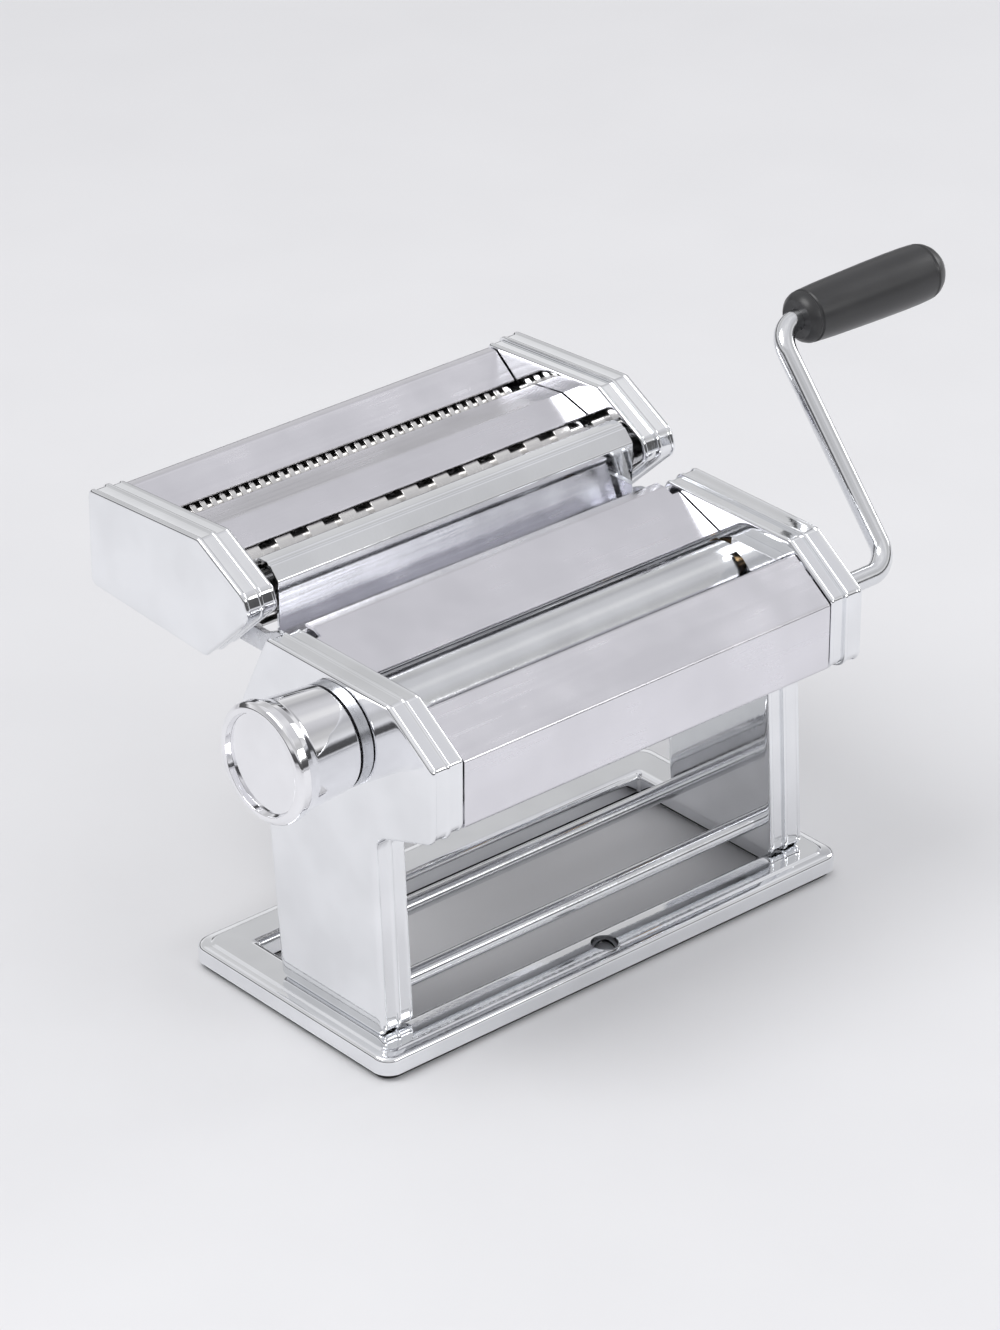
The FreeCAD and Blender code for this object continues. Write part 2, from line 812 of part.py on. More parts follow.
def roller_gear(label, y, phase):
    """Cut to run at any roller gap: its pitch circles touch when the rollers are closest."""
    closest = float(2 * s.roller_radius + s.gap_closed)
    teeth = int(float(s.gear_teeth))
    outside = closest / 2 + float(s.gear_addendum)
    root = closest - outside - float(s.gear_root_gap)
    shape = gear_shape(closest / teeth, teeth, float(s.gear_pressure_angle), outside, root,
                       float(s.gear_backlash), float(s.journal_radius), float(gear_width), phase)
    return formed(label, shape, gear_x, y, roller_z)


keep(roller_gear("drive_gear", drive_y, 0))
keep(roller_gear("rear_gear", rear_y, math.pi + math.pi / float(s.gear_teeth)))

bush_bore = s.journal_radius + s.running_clearance
bush_radius = bush_bore + s.bush_wall
flange_radius = bush_radius + s.bush_flange_rim
bushes = []
for word, side in SIDES:
    flange = side_x - s.bush_flange
    tail = plate_x + s.bush_tail
    profile = [(flange, bush_bore), (flange, flange_radius), (side_x, flange_radius),
               (side_x, bush_radius), (tail, bush_radius), (tail, bush_bore)]
    bushes.append(turned(f"{word}_roller_bush", [(side * dim(x), r) for x, r in profile], drive_y, roller_z))
keep(group("roller_bushes", bushes))

# ---------------------------------------------------------------- carriage of the rear roller

cam_clearance = 0.05
cam_x = plate_x + s.block_flange + 1.6
cam_end = cam_x + s.cam_width
follower_y = rear_y - s.cam_radius - s.follower_radius - cam_clearance
block_z = roller_z - s.block_depth / 2


def bearing_block(word, side):
    """A block that slides in the frame's slot between an inner and an outer flange."""
    half = s.block_width / 2
    flange_rise = 2.0
    inner_start, inner_length = span(side, side_x - s.bush_flange - 0.1, side_x - 0.1)
    slide_start, slide_length = span(side, side_x - 0.1, plate_x + 0.1)
    outer_start, outer_length = span(side, plate_x + 0.1, plate_x + 0.1 + s.block_flange)
    outer_front = follower_y - s.follower_radius - 1.2 if side < 0 else rear_y - half
    pieces = [
        block(f"{word}_inner_flange", inner_start, inner_start + inner_length, rear_y - half,
              rear_y + half, block_low_z, block_z + s.block_depth + flange_rise),
        block(f"{word}_slide", slide_start, slide_start + slide_length, rear_y - half,
              rear_y + half, block_z + s.slide_play, block_z + s.block_depth - s.slide_play),
        block(f"{word}_outer_flange", outer_start, outer_start + outer_length, outer_front,
              rear_y + half, block_z - flange_rise, block_z + s.block_depth + flange_rise),
    ]
    journal = bar(f"{word}_block_bore", -cover_x, cover_x, rear_y, roller_z,
                  s.journal_radius + s.running_clearance)
    link = bar(f"{word}_link_bore", -cover_x, cover_x, rear_y + s.link_back,
               roller_z - link_drop, s.link_radius)
    tools = [journal, link]
    if side < 0:
        tools.append(bar("follower_bore", -cover_x, 0, follower_y, regulator_z, s.follower_radius))
    return cut(f"{word}_bearing_block", fuse(f"{word}_block_blank", pieces), tools)


for word, side in SIDES:
    keep(bearing_block(word, side))
link_end = side_x - 0.1
keep(bar("carriage_link", -link_end, link_end, rear_y + s.link_back, roller_z - link_drop,
         s.link_radius))
keep(bar("cam_follower", -cam_end - 0.4, -plate_x - 0.1, follower_y, regulator_z,
         s.follower_radius))
rear_scraper_path = [
    (rear_y + s.link_back + 1.6, roller_z - link_drop + s.link_radius),
    (rear_y + s.link_back - 3.0, roller_z - link_drop + s.link_radius),
    (rear_y + 2.0, roller_z - s.roller_radius - 1.1),
]
keep(padded_section("rear_scraper", strip(rear_scraper_path[::-1], scraper_wall), -roller_half,
                    2 * roller_half))

# coil springs that draw the carriage back, hooked on posts behind the slots
wire_radius = s.spring_wire / 2
coil_radius = 1.35
coil_run = 4.9
coil_turns = 5
spring_x = plate_x + 0.1 + coil_radius + wire_radius
spring_y = rear_y + s.block_width / 2 + wire_radius
spring_z = roller_z - s.block_depth / 2
post_radius = 1.2
eye_play = 0.1
eye_half = post_radius + eye_play + wire_radius
post_y = spring_y + coil_run + wire_radius + eye_half
eye_end = post_y + roller_travel


def swept(path, start, along, radius):
    """Round wire swept along a path from its start."""
    section = Part.Wire(Part.makeCircle(radius, start, along))
    return path.makePipeShell([section], True, True)


def coil(turns, run, radius, wire):
    """Round wire wound about Z, its first turn starting on the X side."""
    helix = Part.Wire(Part.makeLongHelix(run / turns, run, radius))
    return swept(helix, Vector(radius, 0, 0), Vector(0, 1, 0), wire)


def spring_eye(front, rear, half):
    """The long eye at the fixed end, which leaves the carriage room to travel."""
    up, down = Vector(0, 0, half), Vector(0, 0, -half)
    front_tip, rear_tip = front - Vector(0, half, 0), rear + Vector(0, half, 0)
    edges = [
        Part.LineSegment(front + up, rear + up).toShape(),
        Part.Arc(rear + up, rear_tip, rear + down).toShape(),
        Part.LineSegment(rear + down, front + down).toShape(),
        Part.Arc(front + down, front_tip, front + up).toShape(),
    ]
    return swept(Part.Wire(edges), front + up, Vector(0, 1, 0), float(wire_radius))


spring_shapes = []
for word, side in SIDES:
    x = side * float(spring_x)
    wound = coil(coil_turns, coil_run, coil_radius, float(wire_radius))
    wound.Placement = Placement(Vector(x, float(spring_y), float(spring_z)), Rotation(Vector(1, 0, 0), -90))
    eye = spring_eye(Vector(x, float(post_y), float(spring_z)), Vector(x, float(eye_end), float(spring_z)),
                     float(eye_half))
    spring_shapes += [wound, eye]
keep(formed("return_springs", Part.makeCompound(spring_shapes)))
posts = []
for word, side in SIDES:
    start, length = span(side, plate_x, spring_x + coil_radius + wire_radius)
    posts.append(bar(f"spring_post_{word}", start, start + length, post_y, spring_z, post_radius))
keep(group("spring_posts", posts))

# ---------------------------------------------------------------- thickness regulator

cam_spread = math.radians(12)
cam_rise = float(roller_travel)


def spiral_cam():
    """A disc whose radius grows evenly with the turn and falls back over a short step."""
    turn = math.radians(float(s.cam_turn))
    start_radius = float(s.cam_radius)
    towards_follower = math.pi

    def on_rim(back, radius):
        angle = towards_follower - back
        return Vector(0, radius * math.cos(angle), radius * math.sin(angle))

    samples = 24
    spiral = [on_rim(turn * i / samples, start_radius + cam_rise * i / samples) for i in range(samples + 1)]
    curve = Part.BSplineCurve()
    curve.interpolate(spiral)
    high = start_radius + cam_rise
    low_arc = Part.Arc(on_rim(0, start_radius), on_rim(-cam_spread / 2, start_radius),
                       on_rim(-cam_spread, start_radius))
    high_arc = Part.Arc(on_rim(turn, high), on_rim(turn + cam_spread / 2, high),
                        on_rim(turn + cam_spread, high))
    step = Part.LineSegment(high_arc.EndPoint, low_arc.EndPoint)
    edges = [curve.toShape(), low_arc.toShape(), high_arc.toShape(), step.toShape()]
    wire = Part.Wire(Part.__sortEdges__(edges))
    width = float(s.cam_width)
    bore = Part.makeCylinder(float(s.regulator_shaft_radius), width, Vector(), Vector(1, 0, 0))
    return Part.Face(wire).extrude(Vector(width, 0, 0)).cut(bore)


keep(formed("spiral_cam", spiral_cam(), -cam_end, rear_y, regulator_z))

knob_inner = cover_x + s.knob_gap
knob_outer = knob_inner + s.knob_length
web_x = knob_inner + 7.2
web_wall = 3.0
spring_room = s.knob_travel + 5
washer_x = web_x + web_wall + spring_room
square_start = cover_x + s.index_depth + 0.5
half_square = s.drive_square / 2
shaft_round = bar("regulator_round", -square_start, -cam_x + 0.3, rear_y, regulator_z,
                  s.regulator_shaft_radius)
shaft_square = block("regulator_square", -washer_x, -square_start, rear_y - half_square,
                     rear_y + half_square, regulator_z - half_square, regulator_z + half_square)
keep(fuse("regulator_shaft", [shaft_square, shaft_round]))
nut_thick = 1.6
keep(turned("regulator_nut", [(-washer_x, 0), (-washer_x, 6.2), (-washer_x - nut_thick, 6.2),
                              (-washer_x - nut_thick, 0)], rear_y, regulator_z))

bore_radius = s.regulator_shaft_radius + s.running_clearance
sleeve_radius = s.regulator_shaft_radius + 3
keep(turned("regulator_bush", [
    (-cam_end - 0.3, bore_radius),
    (-cam_end - 0.3, sleeve_radius + 1.5),
    (-lining_x, sleeve_radius + 1.5),
    (-lining_x, sleeve_radius),
    (-cover_x - s.index_depth, sleeve_radius),
    (-cover_x - s.index_depth, bore_radius),
], rear_y, regulator_z))

groove_half = s.locating_pin_radius + 0.3
groove_deep = 1.0
plate = turned("index_blank", [
    (-cover_x, sleeve_radius),
    (-cover_x - s.index_depth, sleeve_radius),
    (-cover_x - s.index_depth, s.index_groove - groove_half),
    (-cover_x - s.index_depth + groove_deep, s.index_groove - groove_half),
    (-cover_x - s.index_depth + groove_deep, s.index_groove + groove_half),
    (-cover_x - s.index_depth, s.index_groove + groove_half),
    (-cover_x - s.index_depth, s.index_radius),
    (-cover_x, s.index_radius),
], rear_y, regulator_z)
settings = 9
index_holes = []
for i in range(settings):
    angle = math.radians(90 + float(s.cam_turn) / (settings - 1) * i)
    index_holes.append(bar(f"index_hole_{i}", -cover_x - s.index_depth, -cover_x,
                           rear_y + s.index_groove * math.cos(angle),
                           regulator_z + s.index_groove * math.sin(angle), groove_half - 0.1))
keep(cut("index_plate", plate, index_holes))

rim_start = knob_outer - 7.0
face_x = knob_outer - 2.0
face_wall = 1.2
face_radius = s.knob_rim_radius - 3.7
knob_blank = turned("knob_blank", [
    (-knob_inner, s.knob_root_radius),
    (-rim_start, s.knob_root_radius + 1.3),
    (-rim_start - 1.2, s.knob_rim_radius - 0.3),
    (-rim_start - 3.0, s.knob_rim_radius),
    (-knob_outer + 1.0, s.knob_rim_radius - 0.6),
    (-knob_outer, s.knob_rim_radius - 1.8),
    (-knob_outer, face_radius + 0.6),
    (-face_x, face_radius),
    (-face_x + face_wall, face_radius),
    (-face_x + face_wall, face_radius - s.knob_wall / 2),
    (-web_x - web_wall, face_radius - s.knob_wall / 2),
    (-web_x - web_wall, 0),
    (-web_x, 0),
    (-web_x, s.knob_root_radius - s.knob_wall),
    (-knob_inner, s.knob_root_radius - s.knob_wall),
], rear_y, regulator_z)
square_play = half_square + s.running_clearance
square_hole = block("square_hole", -web_x - web_wall - 1, -web_x + 1, rear_y - square_play,
                    rear_y + square_play, regulator_z - square_play,
                    regulator_z + square_play)
pin_top = regulator_z + s.index_groove
pin_hole = bar("pin_hole", -web_x - web_wall - 1, -web_x + 1, rear_y, pin_top, s.locating_pin_radius)
keep(cut("regulator_knob", knob_blank, [square_hole, pin_hole]))
dish = 0.8
keep(turned("knob_face", [
    (-face_x + face_wall, 0),
    (-face_x + face_wall, face_radius),
    (-face_x, face_radius),
    (-face_x + dish / 2, face_radius - 5),
    (-face_x + dish / 2, 0),
], rear_y, regulator_z))
pin_tip = cover_x + s.index_depth - groove_deep + 0.3
keep(bar("locating_pin", -web_x - web_wall, -pin_tip, rear_y, pin_top, s.locating_pin_radius))

knob_coil_turns = 3
knob_coil_run = 4.0
knob_coil_radius = 5.6
knob_spring = coil(knob_coil_turns, knob_coil_run, knob_coil_radius, float(wire_radius))
knob_spring.rotate(Vector(), Vector(0, 1, 0), -90)
keep(formed("knob_spring", knob_spring, -web_x - web_wall - wire_radius, rear_y, regulator_z))

# ---------------------------------------------------------------- crank

keep(turned("crank_bush", [
    (lining_x, s.crank_radius + 1.4),
    (lining_x, s.journal_radius + 3),
    (cover_x, s.journal_radius + 3),
    (cover_x, s.journal_radius + 4.2),
    (cover_x + 1.0, s.journal_radius + 4.2),
    (cover_x + 1.0, s.crank_radius + 1.4),
], drive_y, roller_z))


def bent_rod():
    """Round rod: in along X, a bend, the arm across, a bend, and the grip's pin along X."""
    radius = float(s.crank_bend)
    tilt = math.radians(float(s.crank_angle))
    across = Vector(0, math.cos(tilt), math.sin(tilt))
    along = Vector(1, 0, 0)
    start = Vector(float(journal_end - s.crank_depth), 0, 0)
    first = Vector(float(cover_x + s.crank_reach), 0, 0)
    second = first + across * float(s.crank_arm)
    end = second + along * float(grip_gap + s.grip_length + grip_play)
    edges = []
    here = start
    for corner, inward, outward in ((first, along, across), (second, across, along)):
        arc_start = corner - inward * radius
        arc_end = corner + outward * radius
        middle = corner + (outward - inward) * (radius * (1 - math.sqrt(0.5)))
        edges.append(Part.LineSegment(here, arc_start).toShape())
        edges.append(Part.Arc(arc_start, middle, arc_end).toShape())
        here = arc_end
    edges.append(Part.LineSegment(here, end).toShape())
    section = Part.Wire(Part.makeCircle(float(s.crank_radius), start, along))
    rod = Part.Wire(edges).makePipeShell([section], True, False)
    flat = Part.makeBox(float(s.crank_depth) + 1, 20, 10,
                        start + Vector(-0.5, -10, float(s.crank_radius) - crank_flat - 0.05))
    return rod.cut(flat)


grip_gap = s.crank_bend + 0.6
grip_play = 0.3
grip_start = cover_x + s.crank_reach + grip_gap
tilt = math.radians(float(s.crank_angle))
grip_y = drive_y + s.crank_arm * math.cos(tilt)
grip_z = roller_z + s.crank_arm * math.sin(tilt)
keep(formed("crank_rod", bent_rod(), 0, drive_y, roller_z))
grip_bore = s.crank_radius + s.running_clearance
keep(turned("crank_grip", [
    (grip_start, grip_bore),
    (grip_start, s.grip_radius - 2.6),
    (grip_start + 2.5, s.grip_radius - 1.2),
    (grip_start + s.grip_length * 0.35, s.grip_radius - 0.4),
    (grip_start + s.grip_length * 0.7, s.grip_radius),
    (grip_start + s.grip_length - 3.5, s.grip_radius - 0.9),
    (grip_start + s.grip_length, s.grip_radius - 3.4),
    (grip_start + s.grip_length, grip_bore),
], grip_y, grip_z))
cap_start = grip_start + s.grip_length + grip_play
keep(turned("grip_cap", [
    (cap_start, 0),
    (cap_start, s.crank_radius + 2.2),
    (cap_start + 1.6, s.crank_radius + 1.0),
    (cap_start + 1.6, 0),
], grip_y, grip_z))

# ---------------------------------------------------------------- cutting head

PAIRS = (("wide", wide_y, s.wide_strip), ("narrow", narrow_y, s.narrow_strip))
socket_hole = s.cutter_journal + 1.5
for word, side in SIDES:
    cover = pressed_side(f"{word}_head_cover", head_outline, side, seam_x, cover_x, seam_x,
                         s.cover_wall, HEAD_ROUNDS)
    if side > 0:
        pierce(cover, [(reach - half_pair, cutter_z, socket_hole) for _, reach, _ in PAIRS])
    keep(cover)

comb_back_near = 4.9
comb_back_far = 8.0
comb_reach = 2.6
comb_z = cutter_z - s.cutter_radius + 0.3
head_ties = [(head_belly_y + 16, head_belly_z + 6.4), (head_rear_y - 6, head_rear_low + 5.0)]
hook_rivets = [(head_belly_y + 0.2, head_belly_z + 7.0), (head_belly_y + 6.0, head_belly_z + 5.6)]
rivet_radius = 1.8
rivet_head_radius = 2.8
for word, side in SIDES:
    frame = pressed_side(f"{word}_head_frame", shifted(head_outline, s.band_step), side, side_x, seam_x,
                         seam_x, s.side_frame_wall, HEAD_ROUNDS)
    bores = [(reach + sign * half_pair, cutter_z, s.cutter_journal + s.running_clearance)
             for _, reach, _ in PAIRS for sign in (-1, 1)]
    bores += [(y, z, s.tie_radius) for y, z in head_ties]
    bores += [(y, z, rivet_radius) for y, z in hook_rivets]
    pierce(frame, bores)
    keep(frame)

keep(group("head_tie_rods", [
    bar(f"head_tie_{i}", -lining_x, lining_x, y, z, s.tie_radius) for i, (y, z) in enumerate(head_ties)
]))

hook_low = rest_rail_z - s.hook_rail_radius - 1
hook_top = hook_rail_z + s.hook_rail_radius + 6
hook_front = s.hook_rail_reach - s.hook_rail_radius - 3.0
throat = s.hook_rail_radius + s.hook_play
throat_low = hook_rail_z - 3
leg_front = s.rest_rail_reach + s.hook_rail_radius + s.hook_play
leg_rear = leg_front + 6
arm_top = cutter_z - s.cutter_radius - 1.4
arm_low = head_belly_z + 2.2
hook_outline = [
    (hook_front, throat_low),
    (s.hook_rail_reach - throat, throat_low),
    (s.hook_rail_reach - throat, hook_rail_z + throat),
    (s.hook_rail_reach + throat, hook_rail_z + throat),
    (s.hook_rail_reach + throat, throat_low),
    (leg_front, throat_low - 2),
    (leg_front, hook_low),
    (leg_rear, hook_low),
    (leg_rear + 1.5, arm_low),
    (head_belly_y + 8.5, arm_low),
    (head_belly_y + 8.5, arm_top),
    (s.head_chin + 8.5, arm_top),
    (s.head_chin + 3, hook_top),
    (hook_front + 3, hook_top),
    (hook_front, hook_top - 3),
]
hooks = []
for word, side in SIDES:
    start, length = span(side, hook_inner, hook_x)
    hooks.append(padded_section(f"{word}_hook", hook_outline, start, length,
                                [(y, z, rivet_radius) for y, z in hook_rivets]))
keep(group("head_hooks", hooks))
rivets = []
for word, side in SIDES:
    for i, (y, z) in enumerate(hook_rivets):
        start, length = span(side, hook_inner, plate_x)
        shank = bar(f"rivet_{word}_{i}", start, start + length, y, z, rivet_radius)
        start, length = span(side, plate_x, plate_x + 1.2)
        head = bar(f"rivet_head_{word}_{i}", start, start + length, y, z, rivet_head_radius)
        rivets.append(fuse(f"rivet_{word}_{i}_whole", [shank, head]))
keep(group("hook_rivets", rivets))

feed_z = cutter_z + s.cutter_radius + 0.9
rear_feed_path = [
    (head_rear_y - 1.2, head_rear_low + 3.0),
    (head_rear_y - 1.2, head_rear_top - 1.6),
    (head_rear_y - 5.6, head_rear_top - 1.6),
    (narrow_y + s.slot_half, feed_z),
]
rear_feed = padded_section("rear_feed_plate", strip(rear_feed_path, s.panel_wall), -panel_half, 2 * panel_half)
keep(rear_feed)
mid_feed_path = [
    (narrow_y - s.slot_half, feed_z + 0.8),
    (narrow_y - s.slot_half - 1.0, feed_z + 1.6),
    (wide_y + s.slot_half + 12.1, feed_z + 3.3),
    (wide_y + s.slot_half, feed_z),
]
keep(padded_section("middle_feed_plate", strip(mid_feed_path, s.panel_wall), -panel_half, 2 * panel_half))
front_feed_path = [
    (wide_y - s.slot_half, feed_z),
    (wide_y - s.slot_half - 6.6, feed_z + 4.6),
    (wide_y - s.slot_half - 12.0, feed_z + 4.6),
    (s.head_nose + 2.0, head_nose_z - 0.8),
    (s.head_nose + 2.0, hook_rail_z + 5),
]
front_half = hook_inner - 0.6
keep(padded_section("front_feed_plate", strip(front_feed_path, s.panel_wall), -front_half, 2 * front_half))


def cutter_shape(strip_width, first, socket):
    """A cutter turned in one piece: discs one strip wide with gaps as wide between them.

    The two cutters of a pair use alternate places, so that each disc runs in the other's gap.
    """
    half = float(roller_half)
    play = float(s.disc_side_play)
    slots = int(2 * half / strip_width)
    begin = -slots * strip_width / 2
    disc, core = float(s.cutter_radius), float(s.cutter_radius - s.cutter_mesh - s.cutter_core_gap)
    journal = float(s.cutter_journal)
    left, right = -float(plate_x) - 1.5, float(journal_end)
    profile = [(left, 0), (left, journal), (-half, journal), (-half, core)]
    for index in range(first, slots, 2):
        near = begin + index * strip_width + play
        far = near + strip_width - 2 * play
        profile += [(near, core), (near, disc), (far, disc), (far, core)]
    profile += [(half, core), (half, journal), (right, journal), (right, 0)]
    points = [Vector(x, r, 0) for x, r in profile]
    points = [point for i, point in enumerate(points) if i == 0 or (point - points[i - 1]).Length > 1e-6]
    face = Part.Face(Part.makePolygon(points + points[:1]))
    solid = face.revolve(Vector(), Vector(1, 0, 0), 360)
    if socket:
        depth = float(s.crank_depth) + 0.5
        radius = float(socket_radius)
        bore = Part.makeCylinder(radius, depth + 1, Vector(right - depth, 0, 0), Vector(1, 0, 0))
        solid = solid.cut(bore)
    return solid


def comb_shape(strip_width, first):
    """A steel strip whose teeth lie in the gaps of one cutter and lift the dough out of them."""
    half = float(side_x)
    slots = int(2 * float(roller_half) / strip_width)
    begin = -slots * strip_width / 2
    side_play = 0.15
    outline = [(-half, -comb_back_far), (half, -comb_back_far), (half, -comb_back_near)]
    for index in reversed(range(1 - first, slots, 2)):
        near = begin + index * strip_width + side_play
        far = near + strip_width - 2 * side_play
        outline += [(far, -comb_back_near), (far, comb_reach), (near, comb_reach), (near, -comb_back_near)]
    outline.append((-half, -comb_back_near))
    points = [Vector(x, y, 0) for x, y in outline]
    face = Part.Face(Part.makePolygon(points + points[:1]))
    return face.extrude(Vector(0, 0, float(s.comb_wall)))


cutter_gear_module = 2 * float(half_pair) / float(s.cutter_gear_teeth)
for kind, reach, strip_width in PAIRS:
    combs = []
    for place_word, sign, first in (("front", -1, 0), ("rear", 1, 1)):
        y = reach + sign * half_pair
        socket = sign < 0
        keep(formed(f"{kind}_{place_word}_cutter", cutter_shape(float(strip_width), first, socket),
                    0, y, cutter_z))
        teeth = int(float(s.cutter_gear_teeth))
        phase = 0 if sign < 0 else math.pi + math.pi / teeth
        shape = gear_shape(cutter_gear_module, teeth, 20, float(half_pair) + cutter_gear_module * 0.95,
                           float(half_pair) - cutter_gear_module * 1.2, float(s.cutter_gear_backlash),
                           float(s.cutter_journal), float(gear_width), phase)
        keep(formed(f"{kind}_{place_word}_gear", shape, gear_x, y, cutter_z))
        comb = comb_shape(float(strip_width), first)
        if sign > 0:
            comb = comb.mirror(Vector(), Vector(0, 1, 0))
        piece = formed(f"{kind}_{place_word}_comb", comb, 0, y, comb_z)
        combs.append(piece)
    keep(group(f"{kind}_combs", combs))

# ---------------------------------------------------------------- check and write

doc.recompute()
for item in doc.Objects:
    if "Invalid" in item.State or "Error" in item.State:
        raise RuntimeError(f"{item.Label} failed: {item.State}")
labels = [item.Label for item in nodes]
if len(set(labels)) != len(labels):
    raise RuntimeError("two nodes share a name")
for item in nodes:
    shape = item.Shape
    if shape.isNull() or not shape.isValid() or not shape.Solids:
        raise RuntimeError(f"{item.Label} has no valid solid")
    shape.exportStep(f"parts/{item.Label}.step")
print(len(nodes), "nodes written")
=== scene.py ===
import math

import bmesh
import bpy
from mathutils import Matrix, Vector


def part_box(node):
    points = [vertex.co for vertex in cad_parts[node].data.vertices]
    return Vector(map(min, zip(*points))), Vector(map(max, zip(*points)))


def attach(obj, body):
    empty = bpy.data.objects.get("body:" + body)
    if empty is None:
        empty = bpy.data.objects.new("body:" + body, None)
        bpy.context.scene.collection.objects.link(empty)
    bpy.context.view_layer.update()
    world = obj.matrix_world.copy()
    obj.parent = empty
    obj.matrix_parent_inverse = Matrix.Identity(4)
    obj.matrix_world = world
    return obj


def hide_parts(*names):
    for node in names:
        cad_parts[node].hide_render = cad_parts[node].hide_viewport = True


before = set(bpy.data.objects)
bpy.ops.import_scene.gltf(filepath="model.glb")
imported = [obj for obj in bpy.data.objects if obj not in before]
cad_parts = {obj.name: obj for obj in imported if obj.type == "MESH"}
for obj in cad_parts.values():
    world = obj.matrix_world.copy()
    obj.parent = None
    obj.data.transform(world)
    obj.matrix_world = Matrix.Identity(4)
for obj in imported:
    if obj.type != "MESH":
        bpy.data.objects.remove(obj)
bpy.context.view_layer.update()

# ---------------------------------------------------------------- where the machine is looked at from
# A manual pasta machine stands on a pale table and is seen from above its knob, with the crank
# behind. The long lens keeps the sides of the machine nearly parallel.
aim = Vector((0.028, 0.042, 0.066))
stand = Vector((-0.995, -1.124, 0.907))
camera = bpy.data.objects.new("camera", bpy.data.cameras.new("camera"))
camera.location = stand
camera.rotation_euler = (aim - stand).to_track_quat("-Z", "Y").to_euler()
camera.data.lens = 146
camera.data.clip_start = 0.05
bpy.context.collection.objects.link(camera)
bpy.context.scene.camera = camera

# ---------------------------------------------------------------- table and light
# A plain pale table, and a room of soft white light with a few darker stretches, so that the
# polished metal has something to mirror.


def table_finish():
    material = bpy.data.materials.new("pale_table")
    material.use_nodes = True
    nodes, links = material.node_tree.nodes, material.node_tree.links
    shader = nodes["Principled BSDF"]
    shader.inputs["Roughness"].default_value = 0.6
    place = nodes.new("ShaderNodeTexCoord")
    grain = nodes.new("ShaderNodeTexNoise")
    grain.inputs["Scale"].default_value = 14
    tone = nodes.new("ShaderNodeValToRGB")
    tone.color_ramp.elements[0].color = (0.73, 0.73, 0.745, 1)
    tone.color_ramp.elements[1].color = (0.77, 0.77, 0.785, 1)
    links.new(place.outputs["Object"], grain.inputs["Vector"])
    links.new(grain.outputs["Fac"], tone.inputs["Fac"])
    links.new(tone.outputs["Color"], shader.inputs["Base Color"])
    return material


table_mesh = bpy.data.meshes.new("table_top")
reach = 9.0
table_mesh.from_pydata([(-reach, -reach, 0), (reach, -reach, 0), (reach, reach, 0), (-reach, reach, 0)],
                       [], [(0, 1, 2, 3)])
table_top = bpy.data.objects.new("table_top", table_mesh)
table_mesh.materials.append(table_finish())
bpy.context.collection.objects.link(table_top)


def soft_lamp(name, place, size, watts):
    lamp = bpy.data.objects.new(name, bpy.data.lights.new(name, "AREA"))
    lamp.data.shape = "RECTANGLE"
    lamp.data.size, lamp.data.size_y = size
    lamp.data.energy = watts
    lamp.location = place
    lamp.rotation_euler = (Vector((0, 0.02, 0.08)) - lamp.location).to_track_quat("-Z", "Y").to_euler()
    bpy.context.collection.objects.link(lamp)


soft_lamp("key_light", Vector((-0.9, 0.3, 1.5)), (1.0, 0.8), 12)
soft_lamp("front_light", Vector((0.5, -1.7, 0.9)), (1.3, 0.5), 7)
soft_lamp("side_light", Vector((1.6, -0.2, 0.8)), (0.6, 0.9), 6)

room = bpy.data.worlds.new("white_room")
bpy.context.scene.world = room
room.use_nodes = True
room_nodes, room_links = room.node_tree.nodes, room.node_tree.links
sky = room_nodes["Background"]
toward = room_nodes.new("ShaderNodeTexCoord")
height = room_nodes.new("ShaderNodeSeparateXYZ")
climb = room_nodes.new("ShaderNodeValToRGB")
patches = room_nodes.new("ShaderNodeTexNoise")
patches.inputs["Scale"].default_value = 1.7
patches.inputs["Detail"].default_value = 1.0
screens = room_nodes.new("ShaderNodeValToRGB")
blend = room_nodes.new("ShaderNodeMix")
blend.data_type = "RGBA"
blend.blend_type = "MULTIPLY"
blend.inputs["Factor"].default_value = 1.0
steps = climb.color_ramp.elements
steps[0].position, steps[0].color = 0.0, (0.80, 0.80, 0.82, 1)
steps[1].position, steps[1].color = 1.0, (1.0, 1.0, 1.0, 1)
for place, shade in ((0.02, 0.45), (0.05, 0.09), (0.20, 0.13), (0.30, 0.90), (0.46, 0.62), (0.60, 0.60),
                     (0.72, 0.84), (0.88, 0.88)):
    step = steps.new(place)
    step.color = (shade, shade, shade * 1.01, 1)
screens.color_ramp.elements[0].position = 0.40
screens.color_ramp.elements[0].color = (0.82, 0.82, 0.84, 1)
screens.color_ramp.elements[1].position = 0.52
screens.color_ramp.elements[1].color = (1, 1, 1, 1)
room_links.new(toward.outputs["Generated"], height.inputs["Vector"])
room_links.new(height.outputs["Z"], climb.inputs["Fac"])
room_links.new(toward.outputs["Generated"], patches.inputs["Vector"])
room_links.new(patches.outputs["Fac"], screens.inputs["Fac"])
room_links.new(climb.outputs["Color"], blend.inputs[6])
room_links.new(screens.outputs["Color"], blend.inputs[7])
room_links.new(blend.outputs[2], sky.inputs["Color"])
sky.inputs["Strength"].default_value = 1.0
bpy.context.scene.view_settings.view_transform = "Standard"

# ---------------------------------------------------------------- side covers
# Each side is closed by a deep-drawn steel cover with its leg in one piece, chromed and buffed.
# Its rim is turned over all round: a flat band between two thin raised edges. Screwed to the base.
mm = 0.001
cover_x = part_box("right_side_cover")[1].x / mm
body_corners = [
    (16.4, 128, 3), (-41.3, 128, 3), (-62, 113.6, 3), (-62, 88.4, 5), (-34, 79, 7),
    (-38, 9, 3), (12, 9, 3), (18, 74, 7), (29.5, 86, 5), (29.5, 101, 3),
]


